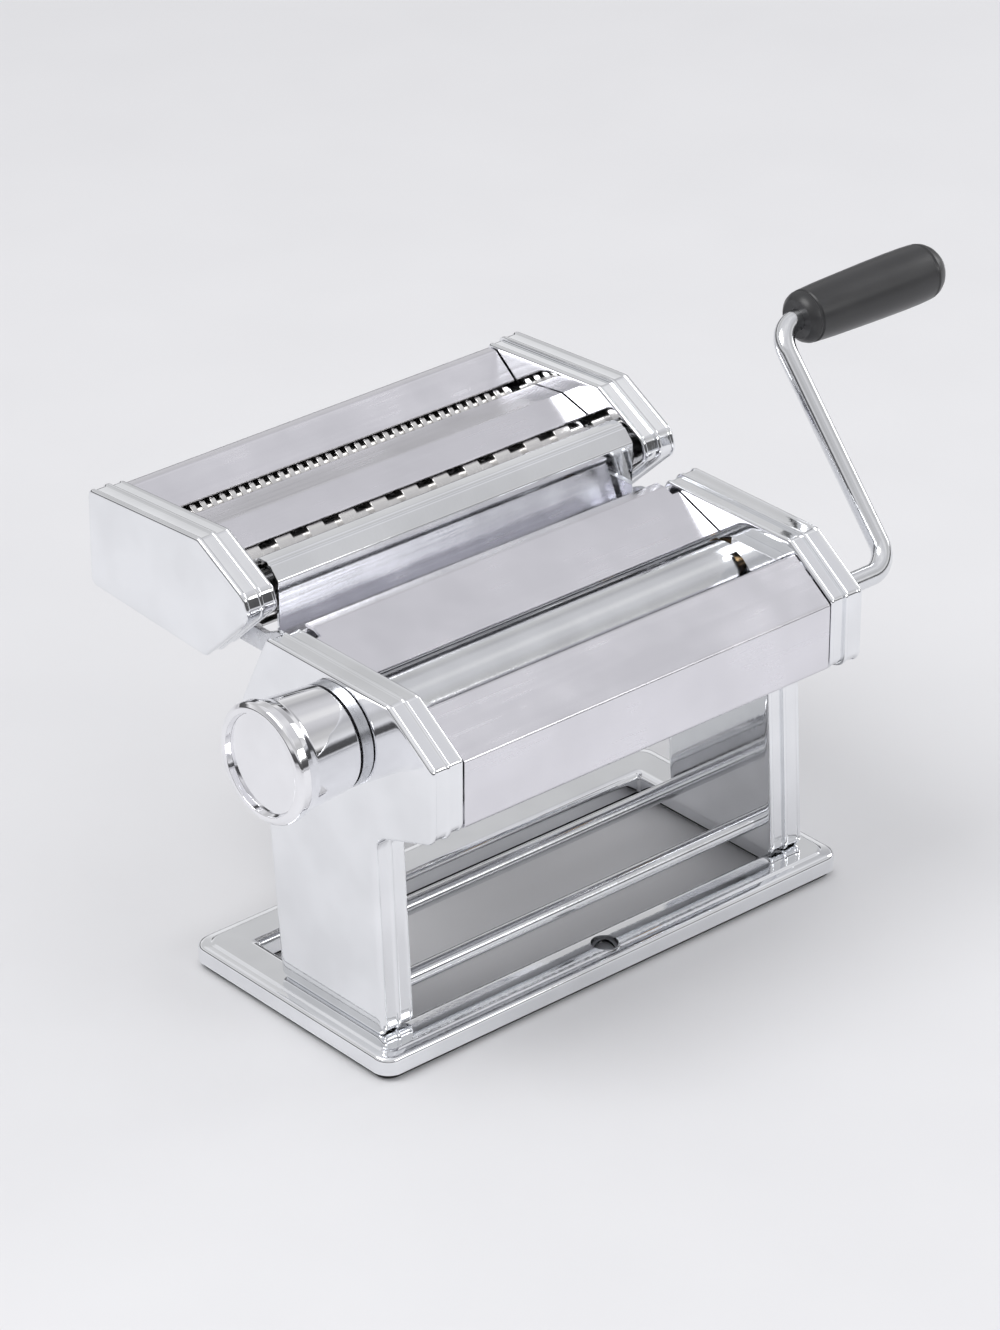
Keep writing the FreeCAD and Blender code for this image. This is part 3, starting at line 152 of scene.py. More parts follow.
def shifted(points, distance, closed=True):
    """Moves every side of an outline to the left of its travel by the distance."""
    moved = []
    count = len(points)
    for i, (a, b) in enumerate(points):
        normals = []
        for start, end in ((i - 1, i), (i, i + 1)):
            if closed or (start >= 0 and end < count):
                run = Vector((points[end % count][0] - points[start % count][0],
                              points[end % count][1] - points[start % count][1])).normalized()
                normals.append(Vector((-run.y, run.x)))
        total = sum(normals, Vector((0, 0)))
        total *= len(normals) / total.dot(total)
        moved.append((a + distance * total.x, b + distance * total.y))
    return moved


def rounded(points, radii, steps=6, closed=True):
    """The same outline with an arc at each corner, always of steps + 1 points."""
    curve = []
    count = len(points)
    for i, radius in enumerate(radii):
        here = Vector(points[i])
        if not closed and i in (0, count - 1):
            curve.append(here)
            continue
        back = (Vector(points[i - 1]) - here)
        ahead = (Vector(points[(i + 1) % count]) - here)
        room_for = 0.49 * min(back.length, ahead.length)
        back.normalize()
        ahead.normalize()
        half = back.angle(ahead) / 2
        radius = max(0.02, min(radius, room_for * math.tan(half)))
        start, end = here + back * (radius / math.tan(half)), here + ahead * (radius / math.tan(half))
        centre = here + (back + ahead).normalized() * (radius / math.sin(half))
        first, last = start - centre, end - centre
        sweep = first.angle_signed(last)
        for step in range(steps + 1):
            turn = -sweep * step / steps
            curve.append(centre + Vector((first.x * math.cos(turn) - first.y * math.sin(turn),
                                          first.x * math.sin(turn) + first.y * math.cos(turn))))
    return curve


def rim_ring(corners, inset, x, steps=6):
    """The outline of a pressed side, drawn in by inset, as points at one x."""
    points = [(y, z) for y, z, _ in corners]
    count = len(points)
    radii = []
    for i, (y, z, radius) in enumerate(corners):
        before, after = Vector(points[i - 1]), Vector(points[(i + 1) % count])
        turn = (Vector((y, z)) - before).cross(after - Vector((y, z)))
        radii.append(radius - inset if turn > 0 else radius + inset)
    ring = rounded(shifted(points, inset), radii, steps)
    return [Vector((x, p.x, p.y)) * mm for p in ring]


def skin(name, rings, wrap=False):
    """Joins rings of as many points into one closed shell; without wrap both ends get a flat face."""
    form = bmesh.new()
    loops = [[form.verts.new(p) for p in ring] for ring in rings]
    count = len(loops[0])
    pairs = list(zip(loops, loops[1:])) + ([(loops[-1], loops[0])] if wrap else [])
    for near, far in pairs:
        for i in range(count):
            j = (i + 1) % count
            form.faces.new((near[i], near[j], far[j], far[i]))
    if not wrap:
        form.faces.new(loops[0])
        form.faces.new(loops[-1])
    bmesh.ops.remove_doubles(form, verts=form.verts, dist=1e-7)
    bmesh.ops.recalc_face_normals(form, faces=form.faces)
    mesh = bpy.data.meshes.new(name)
    form.to_mesh(mesh)
    form.free()
    piece = bpy.data.objects.new(name, mesh)
    bpy.context.collection.objects.link(piece)
    return piece


def made_real(piece):
    """Turns a piece's modifiers into its own mesh."""
    view = bpy.context.evaluated_depsgraph_get()
    mesh = bpy.data.meshes.new_from_object(piece.evaluated_get(view))
    mesh.name = piece.name
    piece.modifiers.clear()
    piece.data = mesh


def drilled(piece, tools):
    """Cuts the tools' shapes out of a piece and throws the tools away."""
    for tool in tools:
        cut = piece.modifiers.new("cut", "BOOLEAN")
        cut.operation = "DIFFERENCE"
        cut.solver = "EXACT"
        cut.object = tool
    made_real(piece)
    for tool in tools:
        bpy.data.objects.remove(tool)


def round_tool(x0, x1, y, z, radius, count=40):
    circle = [(math.cos(2 * math.pi * i / count), math.sin(2 * math.pi * i / count)) for i in range(count)]
    rings = [[Vector((x, y + radius * a, z + radius * b)) * mm for a, b in circle] for x in (x0, x1)]
    return skin("tool", rings)


def square_tool(x0, x1, y0, y1, z0, z1):
    corners = [(y0, z0), (y1, z0), (y1, z1), (y0, z1)]
    return skin("tool", [[Vector((x, y, z)) * mm for y, z in corners] for x in (x0, x1)])


def metal_finish(name, colour, gloss, lines, run, relief, cloud=45.0, tint=0.93):
    """Metal with fine working marks that run one way over slow changes of gloss and tone."""
    material = bpy.data.materials.new(name)
    material.use_nodes = True
    nodes, links = material.node_tree.nodes, material.node_tree.links
    shader = nodes["Principled BSDF"]
    shader.inputs["Metallic"].default_value = 1.0
    place = nodes.new("ShaderNodeTexCoord")
    along = nodes.new("ShaderNodeMapping")
    along.inputs["Scale"].default_value = run
    marks = nodes.new("ShaderNodeTexNoise")
    marks.inputs["Scale"].default_value = lines
    marks.inputs["Detail"].default_value = 3.0
    slow = nodes.new("ShaderNodeTexNoise")
    slow.inputs["Scale"].default_value = cloud
    slow.inputs["Detail"].default_value = 2.0
    both = nodes.new("ShaderNodeMath")
    both.operation = "MULTIPLY"
    spread = nodes.new("ShaderNodeMapRange")
    spread.inputs["From Min"].default_value = 0.12
    spread.inputs["From Max"].default_value = 0.42
    spread.inputs["To Min"].default_value = gloss[0]
    spread.inputs["To Max"].default_value = gloss[1]
    tone = nodes.new("ShaderNodeValToRGB")
    tone.color_ramp.elements[0].position = 0.35
    tone.color_ramp.elements[0].color = tuple(tint * c for c in colour) + (1,)
    tone.color_ramp.elements[1].position = 0.65
    tone.color_ramp.elements[1].color = tuple(colour) + (1,)
    bump = nodes.new("ShaderNodeBump")
    bump.inputs["Strength"].default_value = relief
    bump.inputs["Distance"].default_value = 0.0002
    links.new(place.outputs["Object"], along.inputs["Vector"])
    links.new(along.outputs["Vector"], marks.inputs["Vector"])
    links.new(place.outputs["Object"], slow.inputs["Vector"])
    links.new(marks.outputs["Fac"], both.inputs[0])
    links.new(slow.outputs["Fac"], both.inputs[1])
    links.new(both.outputs["Value"], spread.inputs["Value"])
    links.new(spread.outputs["Result"], shader.inputs["Roughness"])
    links.new(slow.outputs["Fac"], tone.inputs["Fac"])
    links.new(tone.outputs["Color"], shader.inputs["Base Color"])
    links.new(marks.outputs["Fac"], bump.inputs["Height"])
    links.new(bump.outputs["Normal"], shader.inputs["Normal"])
    return material


def fitted(piece, body, slot, finish, *nodes, crease=32):
    """Smooths a finished piece, gives it its finish and fixes it to its body."""
    piece.data.shade_smooth()
    piece.data.set_sharp_from_angle(angle=math.radians(crease))
    even = piece.modifiers.new("even", "WEIGHTED_NORMAL")
    even.keep_sharp = True
    made_real(piece)
    piece.data.materials.clear()
    piece.data.materials.append(finish)
    for face in piece.data.polygons:
        face.material_index = 0
    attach(piece, body)
    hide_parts(*nodes)


def kept(finish, *names):
    """A piece that is right as designed only gets its finish."""
    for name in names:
        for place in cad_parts[name].material_slots:
            place.material = finish


chrome = metal_finish("buffed_chrome", (0.90, 0.91, 0.93), (0.025, 0.085), 900, (1, 1, 0.25), 0.05)

# (distance in from the outer face, inset) from the middle of the face, round the rim, to the back
cover_rim = [
    (0.0, 2.6), (0.0, 1.5), (0.06, 0.95), (0.25, 0.5), (0.55, 0.18), (0.95, 0.02), (1.35, 0.0),
    (1.6, 0.1), (1.85, 0.42), (2.2, 0.52), (5.7, 0.52), (6.0, 0.42), (6.25, 0.1), (6.5, 0.0),
    (7.1, 0.0), (7.38, 0.12), (7.5, 0.4), (7.5, 1.0), (7.4, 1.2), (1.7, 1.25), (1.3, 1.5), (1.2, 2.2),
    (1.2, 2.6),
]
drive_y, rear_y, roller_z, knob_z = -44.4, -15.4, 104.5, 107.4
for word, side in (("left", -1), ("right", 1)):
    shell = skin(f"{word}_cover_shell",
                 [rim_ring(body_corners, inset, side * (cover_x - deep)) for deep, inset in cover_rim])
    if side < 0:
        drilled(shell, [round_tool(-95, -80, rear_y, knob_z, 7.0)])
    else:
        drilled(shell, [round_tool(80, 95, drive_y, roller_z, 8.0)])
    fitted(shell, "frame", "polished_chrome", chrome, f"{word}_side_cover")

# ---------------------------------------------------------------- side frames
# Inside each cover stands a pressed plate that carries the bearings. Its rim follows the cover's,
# a step lower, and shows as the second band. Tied to the other side by rods.
side_x = 76.9
frame_rim = [
    (0.0, 3.2), (0.0, 1.9), (0.1, 1.3), (0.35, 0.9), (0.7, 0.72), (1.1, 0.7), (1.3, 0.78), (1.45, 0.98),
    (1.7, 1.05), (5.6, 1.05), (5.6, 2.2), (2.0, 2.2), (1.6, 2.5), (1.5, 3.2),
]
tie_places = [(-25, 80), (13, 90), (-29, 20), (4, 20)]
rail_places = [(16.5, 112), (22.5, 97)]
for word, side in (("left", -1), ("right", 1)):
    plate = skin(f"{word}_bearing_plate",
                 [rim_ring(body_corners, inset, side * (side_x + deep)) for deep, inset in frame_rim])
    near, far = sorted((side * (side_x - 2), side * (side_x + 3)))
    bores = [round_tool(near, far, drive_y, roller_z, 6.5)]
    bores += [round_tool(near, far, y, z, 3.0, 24) for y, z in tie_places + rail_places]
    bores.append(square_tool(near, far, -27.3, -6.0, 96.5, 112.5))
    drilled(plate, bores)
    fitted(plate, "frame", "polished_chrome", chrome, f"{word}_side_frame")

# ---------------------------------------------------------------- casing, hopper and rear sheets
# The rollers are cased in stainless sheet, bent on a folding bench with a small radius and held
# between the side plates: a slope and a drop in front, a chute behind the rollers, a closing back.


def sheet_section(path, wall, bend, thin=0.0, steps=4):
    """The closed outline of a bent sheet whose left side lies wall from the path, ends rounded."""
    middle = shifted(path, wall / 2, closed=False)
    half = wall / 2 - thin
    sides = []
    for sign in (-1, 1):
        edge = shifted(middle, sign * half, closed=False)
        radii = []
        for i in range(len(path)):
            turn = 0
            if 0 < i < len(path) - 1:
                a, b, c = Vector(middle[i - 1]), Vector(middle[i]), Vector(middle[i + 1])
                turn = (b - a).cross(c - b)
            radii.append(max(0.15, bend - sign * half if turn > 0 else bend + sign * half))
        sides.append(rounded(edge, radii, steps, closed=False))
    right, left = sides
    outline = []
    for run, start, end in ((right, right[-1], left[-1]), (left[::-1], left[0], right[0])):
        outline += run
        centre = (start + end) / 2
        arm = start - centre
        for step in range(1, 5):
            turn = math.pi * step / 5
            outline.append(centre + Vector((arm.x * math.cos(turn) - arm.y * math.sin(turn),
                                            arm.x * math.sin(turn) + arm.y * math.cos(turn))))
    return outline


def bent_sheet(name, path, half_width, wall=1.0, bend=1.3):
    ease = 0.12
    rings = []
    for x, thin in ((-half_width, ease), (-half_width + ease, 0), (half_width - ease, 0), (half_width, ease)):
        rings.append([Vector((x, p.x, p.y)) * mm for p in sheet_section(path, wall, bend, thin)])
    return skin(name, rings)


stainless = metal_finish("satin_stainless", (0.80, 0.79, 0.83), (0.16, 0.30), 700, (0.02, 1, 1), 0.10)
casing = bent_sheet("front_casing_sheet", [(-42.2, 120.1), (-43.2, 124.58), (-61, 112.19), (-61, 89.2),
                                           (-57.5, 88.0)], 76.4)
fitted(casing, "frame", "polished_steel", stainless, "front_casing")
chute = bent_sheet("rear_chute_sheet", [(-8.5, 117.7), (13.4, 126.0), (16.8, 126.0)], 76.4)
drilled(chute, [square_tool(73.5, 78, 9.5, 22, 112, 130), square_tool(-78, -73.5, 9.5, 22, 112, 130)])
fitted(chute, "frame", "polished_steel", stainless, "rear_hopper_panel")
back = bent_sheet("rear_casing_sheet", [(26, 87.5), (28.9, 88.6), (28.9, 101), (17.4, 124.8)], 73.5)
fitted(back, "frame", "polished_steel", stainless, "rear_casing")

# ---------------------------------------------------------------- rollers
# Two solid steel rollers, ground smooth along their length, with turned journals at both ends.
# The front one has a socket in its right end for the crank.


def turned(name, profile, y, z, count=64):
    """A piece turned about an axis along X from (x, radius) corners; a radius of 0 closes it."""
    rings = []
    for x, radius in profile:
        rings.append([Vector((x, y + max(radius, 1e-5) * math.cos(2 * math.pi * i / count),
                              z + max(radius, 1e-5) * math.sin(2 * math.pi * i / count))) * mm
                      for i in range(count)])
    closed = profile[0][1] == 0 and profile[-1][1] == 0
    return skin(name, rings, wrap=not closed)


def eased(profile, radius=0.3, steps=3):
    """The same turned profile with its corners broken."""
    inner = rounded(profile, [0] + [radius] * (len(profile) - 2) + [0], steps, closed=False)
    return [(p.x, p.y) for p in inner]


ground_steel = metal_finish("ground_steel", (0.78, 0.79, 0.81), (0.10, 0.22), 1500, (1, 0.6, 0.6), 0.10)
for name, y, body, node in (("front_roller_bar", drive_y, "drive_roller", "drive_roller"),
                            ("rear_roller_bar", rear_y, "rear_roller", "rear_roller")):
    roller = turned(name, eased([(-80.8, 0), (-80.8, 5), (-75, 5), (-75, 13), (75, 13), (75, 5), (88.3, 5),
                                 (88.3, 0)], 0.6), y, roller_z, 96)
    if node == "drive_roller":
        socket = []
        for x in (72.8, 89.3):
            socket.append([Vector((x, y + 3.55 * math.cos(math.radians(7.5 * i)),
                                   roller_z + min(2.55, 3.55 * math.sin(math.radians(7.5 * i))))) * mm
                           for i in range(48)])
        drilled(roller, [skin("tool", socket)])
    fitted(roller, body, "roller_steel", ground_steel, node)

# ---------------------------------------------------------------- end guides of the rollers
# Small chromed pieces above both roller ends keep the dough between the sides. Held on the side
# plates by a lug.
guide_outline = [(-31.7, 111.7), (-30.7, 111.7), (-25.4, 116.3), (-19.9, 118.9), (-19.9, 121.9),
                 (-40.4, 121.9), (-40.4, 118.7), (-36.8, 116.4)]


def cut_plate(name, outline, x0, x1, ease=0.25, corner=0.5):
    """A thick plate cut to an outline, its edges broken."""
    rings = []
    for x, inset in ((x0, ease), (x0 + ease * 0.3, ease * 0.3), (x0 + ease, 0), (x1 - ease, 0),
                     (x1 - ease * 0.3, ease * 0.3), (x1, ease)):
        ring = rounded(shifted(outline, inset), [corner] * len(outline), 4)
        rings.append([Vector((x, p.x, p.y)) * mm for p in ring])
    return skin(name, rings)


def joined(name, pieces):
    """Several loose pieces as one object."""
    whole = bmesh.new()
    for piece in pieces:
        whole.from_mesh(piece.data)
        bpy.data.objects.remove(piece)
    mesh = bpy.data.meshes.new(name)
    whole.to_mesh(mesh)
    whole.free()
    group = bpy.data.objects.new(name, mesh)
    bpy.context.collection.objects.link(group)
    return group


guides = joined("end_guides", [cut_plate("guide", guide_outline, 71.9, 76.9),
                               cut_plate("guide", guide_outline, -76.9, -71.9)])
fitted(guides, "frame", "polished_chrome", chrome, "dough_guides")

# ---------------------------------------------------------------- base
# An open ring pressed from steel sheet, chromed, that the covers' feet stand on. A dark rubber
# strip is pushed into the channel beneath it and carries the machine on the table.
half_w, half_d, rail = 98.0, 48.5, 16.0


def slab_ring(width, depth, corner, z):
    corners = [(width, -depth), (width, depth), (-width, depth), (-width, -depth)]
    return [Vector((p.x, p.y, z)) * mm for p in rounded(corners, [corner] * 4, 10)]


# (inset from the outer edge, height), from the outer wall's foot over the top to the inner wall's
ledge = [(1.5, 2.0), (0.3, 2.0), (0.0, 2.3), (0.0, 6.6), (0.25, 7.5), (0.8, 8.1), (1.6, 8.35), (3.0, 8.4),
         (3.4, 8.55), (3.8, 8.9), (4.3, 9.0), (12.9, 9.0), (14.4, 8.7), (15.4, 8.0), (15.8, 7.2), (16.0, 6.2),
         (16.0, 2.3), (15.7, 2.0), (14.5, 2.0)]
inside = [(14.5, 7.0), (13.6, 7.5), (2.6, 7.3), (1.5, 6.6)]
base_rings = [slab_ring(half_w - inset, half_d - inset, max(0.6, 6.0 - inset * 0.3), z)
              for inset, z in ledge + inside]
base_ring = skin("base_ring", base_rings, wrap=True)
clamp_y = -half_d + rail / 2


def upright_rings(y, radii_and_heights, count=48):
    """Rings about an upright axis at x = 0, for bosses and holes."""
    rings = []
    for radius, z in radii_and_heights:
        rings.append([Vector((radius * math.cos(2 * math.pi * i / count),
                              y + radius * math.sin(2 * math.pi * i / count), z)) * mm for i in range(count)])
    return rings


drilled(base_ring, [skin("clamp_bore", upright_rings(clamp_y, [(4.5, 0), (4.5, 12)]))])
clamp_boss = skin("clamp_boss", upright_rings(clamp_y, [
    (4.5, 2.0), (6.0, 2.0), (6.0, 7.3), (5.2, 8.9), (4.75, 9.0), (4.52, 8.85), (4.5, 8.6)]), wrap=True)
base_ring = joined("base_ring_with_boss", [base_ring, clamp_boss])
fitted(base_ring, "frame", "polished_chrome", chrome, "base_frame")


def rubber_finish():
    material = bpy.data.materials.new("black_rubber")
    material.use_nodes = True
    nodes, links = material.node_tree.nodes, material.node_tree.links
    shader = nodes["Principled BSDF"]
    shader.inputs["Specular IOR Level"].default_value = 0.3
    place = nodes.new("ShaderNodeTexCoord")
    grain = nodes.new("ShaderNodeTexNoise")
    grain.inputs["Scale"].default_value = 900
    tone = nodes.new("ShaderNodeValToRGB")
    tone.color_ramp.elements[0].color = (0.016, 0.016, 0.017, 1)
    tone.color_ramp.elements[1].color = (0.035, 0.035, 0.036, 1)
    rough = nodes.new("ShaderNodeMapRange")
    rough.inputs["To Min"].default_value = 0.65
    rough.inputs["To Max"].default_value = 0.9
    bump = nodes.new("ShaderNodeBump")
    bump.inputs["Strength"].default_value = 0.25
    bump.inputs["Distance"].default_value = 0.0003
    links.new(place.outputs["Object"], grain.inputs["Vector"])
    links.new(grain.outputs["Fac"], tone.inputs["Fac"])
    links.new(tone.outputs["Color"], shader.inputs["Base Color"])
    links.new(grain.outputs["Fac"], rough.inputs["Value"])
    links.new(rough.outputs["Result"], shader.inputs["Roughness"])
    links.new(grain.outputs["Fac"], bump.inputs["Height"])
    links.new(bump.outputs["Normal"], shader.inputs["Normal"])
    return material


rubber = rubber_finish()
strip_section = [(1.7, 0.4), (2.1, 0.0), (13.9, 0.0), (14.3, 0.4), (14.3, 4.7), (14.0, 5.0), (2.0, 5.0),
                 (1.7, 4.7)]
pad = skin("rubber_strip", [slab_ring(half_w - inset, half_d - inset, 4.5, z) for inset, z in strip_section],
           wrap=True)
boss_clearance = 6.2
drilled(pad, [skin("tool", upright_rings(clamp_y, [(boss_clearance, -1), (boss_clearance, 6)], 40))])
fitted(pad, "frame", "foot_rubber", rubber, "base_pad")

# ---------------------------------------------------------------- thickness knob
# A hollow knob of chromed metal, a little wider at its rounded outer rim, with a bright dished
# disc let into its end. It is pulled against a spring to leave one setting for the next.
bright_plate = metal_finish("bright_knob_plate", (0.93, 0.93, 0.95), (0.02, 0.06), 800, (1, 1, 1), 0.03)
knob_profile = rounded([
    (-92.8, 17.2), (-110.4, 18.5), (-112.6, 19.4), (-114.6, 19.9), (-117.4, 19.8), (-118.8, 18.2),
    (-118.6, 16.7), (-116.8, 16.2), (-115.6, 16.2), (-115.6, 15.1), (-106.0, 15.1), (-106.0, 0.0),
    (-103.0, 0.0), (-103.0, 15.0), (-92.8, 15.0),
], [0.8, 4, 2.5, 2, 1.6, 1.2, 0.3, 0.2, 0.1, 0.3, 0.5, 0.01, 0.01, 0.5, 0.5], 5)
flat = [i for i, p in enumerate(knob_profile) if p.y < 0.05]
knob_profile = knob_profile[flat[-1] + 1:] + knob_profile[:flat[0]]
knob_profile = [(-103.0, 0)] + [(p.x, p.y) for p in knob_profile] + [(-106.0, 0)]
knob = turned("thickness_knob", knob_profile, rear_y, knob_z, 96)
drilled(knob, [square_tool(-107, -102, rear_y - 2.85, rear_y + 2.85, knob_z - 2.85, knob_z + 2.85)])
fitted(knob, "knob", "knob_plate", bright_plate, "regulator_knob")
dish = turned("knob_disc", [(-115.6, 0), (-115.6, 16.1), (-116.7, 16.15), (-116.75, 15.9), (-116.6, 14.0),
                            (-116.4, 11.0), (-116.2, 6.0), (-116.15, 0)], rear_y, knob_z, 96)
fitted(dish, "knob", "knob_plate", bright_plate, "knob_face")

# ---------------------------------------------------------------- crank
# A bright steel rod bent twice, its near end flatted to drive the roller, with a black plastic
# grip that turns freely between the bend and a pressed cap.
bright_rod = metal_finish("bright_steel_rod", (0.80, 0.81, 0.83), (0.10, 0.20), 900, (1, 0.3, 0.3), 0.08)
crank_angle = math.radians(49.5)
rod_across = Vector((0, math.cos(crank_angle), math.sin(crank_angle)))
rod_along = Vector((1, 0, 0))
rod_start = Vector((73.3, drive_y, roller_z))
bend_one = Vector((120.0, drive_y, roller_z))
bend_two = bend_one + rod_across * 86
rod_end = bend_two + rod_along * 71.9
bend_radius = 9.0
rod_path = [rod_start, Vector((88.1, drive_y, roller_z)), Vector((88.5, drive_y, roller_z))]
for corner, inward, outward in ((bend_one, rod_along, rod_across), (bend_two, rod_across, rod_along)):
    centre = corner + (outward - inward) * bend_radius
    for step in range(17):
        turn = math.pi / 2 * step / 16
        rod_path.append(centre - outward * bend_radius * math.cos(turn)
                        + inward * bend_radius * math.sin(turn))
rod_path.append(rod_end)


def follow_tree():
    """Round bar along a path, one side of its near end filed flat."""
    tree = bpy.data.node_groups.new("bent_bar", "GeometryNodeTree")
    face = tree.interface
    face.new_socket("Geometry", in_out="INPUT", socket_type="NodeSocketGeometry")
    for name, kind in (("Bar Radius", "NodeSocketFloat"), ("Flat Ends At", "NodeSocketFloat"),
                       ("Flat Height", "NodeSocketFloat"), ("Finish", "NodeSocketMaterial")):
        face.new_socket(name, in_out="INPUT", socket_type=kind)
    face.new_socket("Geometry", in_out="OUTPUT", socket_type="NodeSocketGeometry")
    nodes, links = tree.nodes, tree.links
    given, out = nodes.new("NodeGroupInput"), nodes.new("NodeGroupOutput")
    curve = nodes.new("GeometryNodeMeshToCurve")
    circle = nodes.new("GeometryNodeCurvePrimitiveCircle")
    circle.inputs["Resolution"].default_value = 40
    sweep = nodes.new("GeometryNodeCurveToMesh")
    sweep.inputs["Fill Caps"].default_value = True
    where, parts = nodes.new("GeometryNodeInputPosition"), nodes.new("ShaderNodeSeparateXYZ")
    near = nodes.new("FunctionNodeCompare")
    near.operation = "LESS_THAN"
    lower = nodes.new("ShaderNodeMath")
    lower.operation = "MINIMUM"
    again, move = nodes.new("ShaderNodeCombineXYZ"), nodes.new("GeometryNodeSetPosition")
    real, paint = nodes.new("GeometryNodeRealizeInstances"), nodes.new("GeometryNodeSetMaterial")
    links.new(given.outputs["Geometry"], curve.inputs["Mesh"])
    links.new(given.outputs["Bar Radius"], circle.inputs["Radius"])
    links.new(curve.outputs["Curve"], sweep.inputs["Curve"])
    links.new(circle.outputs["Curve"], sweep.inputs["Profile Curve"])
    links.new(sweep.outputs["Mesh"], move.inputs["Geometry"])
    links.new(where.outputs["Position"], parts.inputs["Vector"])
    links.new(parts.outputs["X"], near.inputs["A"])
    links.new(given.outputs["Flat Ends At"], near.inputs["B"])
    links.new(parts.outputs["Z"], lower.inputs[0])
    links.new(given.outputs["Flat Height"], lower.inputs[1])
    links.new(parts.outputs["X"], again.inputs["X"])
    links.new(parts.outputs["Y"], again.inputs["Y"])
    links.new(lower.outputs["Value"], again.inputs["Z"])
    links.new(near.outputs["Result"], move.inputs["Selection"])
    links.new(again.outputs["Vector"], move.inputs["Position"])
    links.new(move.outputs["Geometry"], real.inputs["Geometry"])
    links.new(real.outputs["Geometry"], paint.inputs["Geometry"])
    links.new(given.outputs["Finish"], paint.inputs["Material"])
    links.new(paint.outputs["Geometry"], out.inputs["Geometry"])
    return tree


def grown(piece, tree, **sizes):
    """Runs a node tree on a piece with the named sizes and keeps what it makes as a plain mesh."""
    grow = piece.modifiers.new("grow", "NODES")
    grow.node_group = tree
    for item in tree.interface.items_tree:
        if item.in_out == "INPUT" and item.name.replace(" ", "_").lower() in sizes:
            grow[item.identifier] = sizes[item.name.replace(" ", "_").lower()]
    made_real(piece)
    tidy = bmesh.new()
    tidy.from_mesh(piece.data)
    bmesh.ops.remove_doubles(tidy, verts=tidy.verts, dist=1e-7)
    bmesh.ops.recalc_face_normals(tidy, faces=tidy.faces)
    tidy.to_mesh(piece.data)
    tidy.free()
    return piece


rod_line = bpy.data.meshes.new("crank_bar")
rod_line.from_pydata([p * mm for p in rod_path], [(i, i + 1) for i in range(len(rod_path) - 1)], [])
crank_bar = bpy.data.objects.new("crank_bar", rod_line)
bpy.context.collection.objects.link(crank_bar)
grown(crank_bar, follow_tree(), bar_radius=3.5 * mm, flat_ends_at=88.3 * mm,
      flat_height=(roller_z + 2.45) * mm, finish=bright_rod)
fitted(crank_bar, "crank", "bright_rod", bright_rod, "crank_rod")

grip_y, grip_z, grip_from = rod_end.y, rod_end.z, 129.6


def plastic_finish():
    material = bpy.data.materials.new("black_plastic")
    material.use_nodes = True
    nodes, links = material.node_tree.nodes, material.node_tree.links
    shader = nodes["Principled BSDF"]
    shader.inputs["Coat Weight"].default_value = 0.15
    shader.inputs["Coat Roughness"].default_value = 0.25
    place = nodes.new("ShaderNodeTexCoord")
    stipple = nodes.new("ShaderNodeTexNoise")
    stipple.inputs["Scale"].default_value = 2200
    slow = nodes.new("ShaderNodeTexNoise")
    slow.inputs["Scale"].default_value = 70
    tone = nodes.new("ShaderNodeValToRGB")
    tone.color_ramp.elements[0].color = (0.012, 0.012, 0.013, 1)
    tone.color_ramp.elements[1].color = (0.030, 0.030, 0.032, 1)
    rough = nodes.new("ShaderNodeMapRange")
    rough.inputs["To Min"].default_value = 0.30
    rough.inputs["To Max"].default_value = 0.48
    bump = nodes.new("ShaderNodeBump")
    bump.inputs["Strength"].default_value = 0.12
    bump.inputs["Distance"].default_value = 0.0002
    links.new(place.outputs["Object"], stipple.inputs["Vector"])
    links.new(place.outputs["Object"], slow.inputs["Vector"])
    links.new(slow.outputs["Fac"], tone.inputs["Fac"])
    links.new(tone.outputs["Color"], shader.inputs["Base Color"])
    links.new(slow.outputs["Fac"], rough.inputs["Value"])
    links.new(rough.outputs["Result"], shader.inputs["Roughness"])
    links.new(stipple.outputs["Fac"], bump.inputs["Height"])
    links.new(bump.outputs["Normal"], shader.inputs["Normal"])
    return material


black_plastic = plastic_finish()
grip_profile = [(0, 3.55), (0, 6.6), (0.5, 7.3), (1.6, 8.3), (3.0, 8.85), (3.4, 8.55), (4.0, 8.55),
                (4.4, 9.0),
                (12, 9.4), (22, 9.65), (34, 9.9), (44, 10.0), (51, 9.95), (55.6, 9.75), (56.0, 9.35),
                (56.6, 9.35),
                (57.0, 9.6), (58.6, 9.15), (60.4, 8.1), (61.4, 7.2), (62.0, 6.2), (62.0, 3.55)]
grip = turned("crank_handle", [(grip_from + x, r) for x, r in grip_profile], grip_y, grip_z, 72)
fitted(grip, "grip", "black_grip", black_plastic, "crank_grip")
cap = turned("crank_cap", [(191.9, 0), (191.9, 5.4), (192.1, 5.7), (192.5, 5.6), (193.0, 5.2), (193.35, 4.4),
                           (193.5, 3.4), (193.5, 0)], grip_y, grip_z, 48)
fitted(cap, "crank", "bright_rod", bright_rod, "grip_cap")
collar = turned("crank_collar", [(88.8, 4.9), (88.8, 8.0), (90.0, 8.0), (90.0, 9.2), (90.6, 9.15),
                                 (90.95, 8.7),
                                 (91.0, 8.2), (91.0, 5.3), (90.8, 4.95)], drive_y, roller_z, 64)
fitted(collar, "frame", "polished_chrome", chrome, "crank_bush")

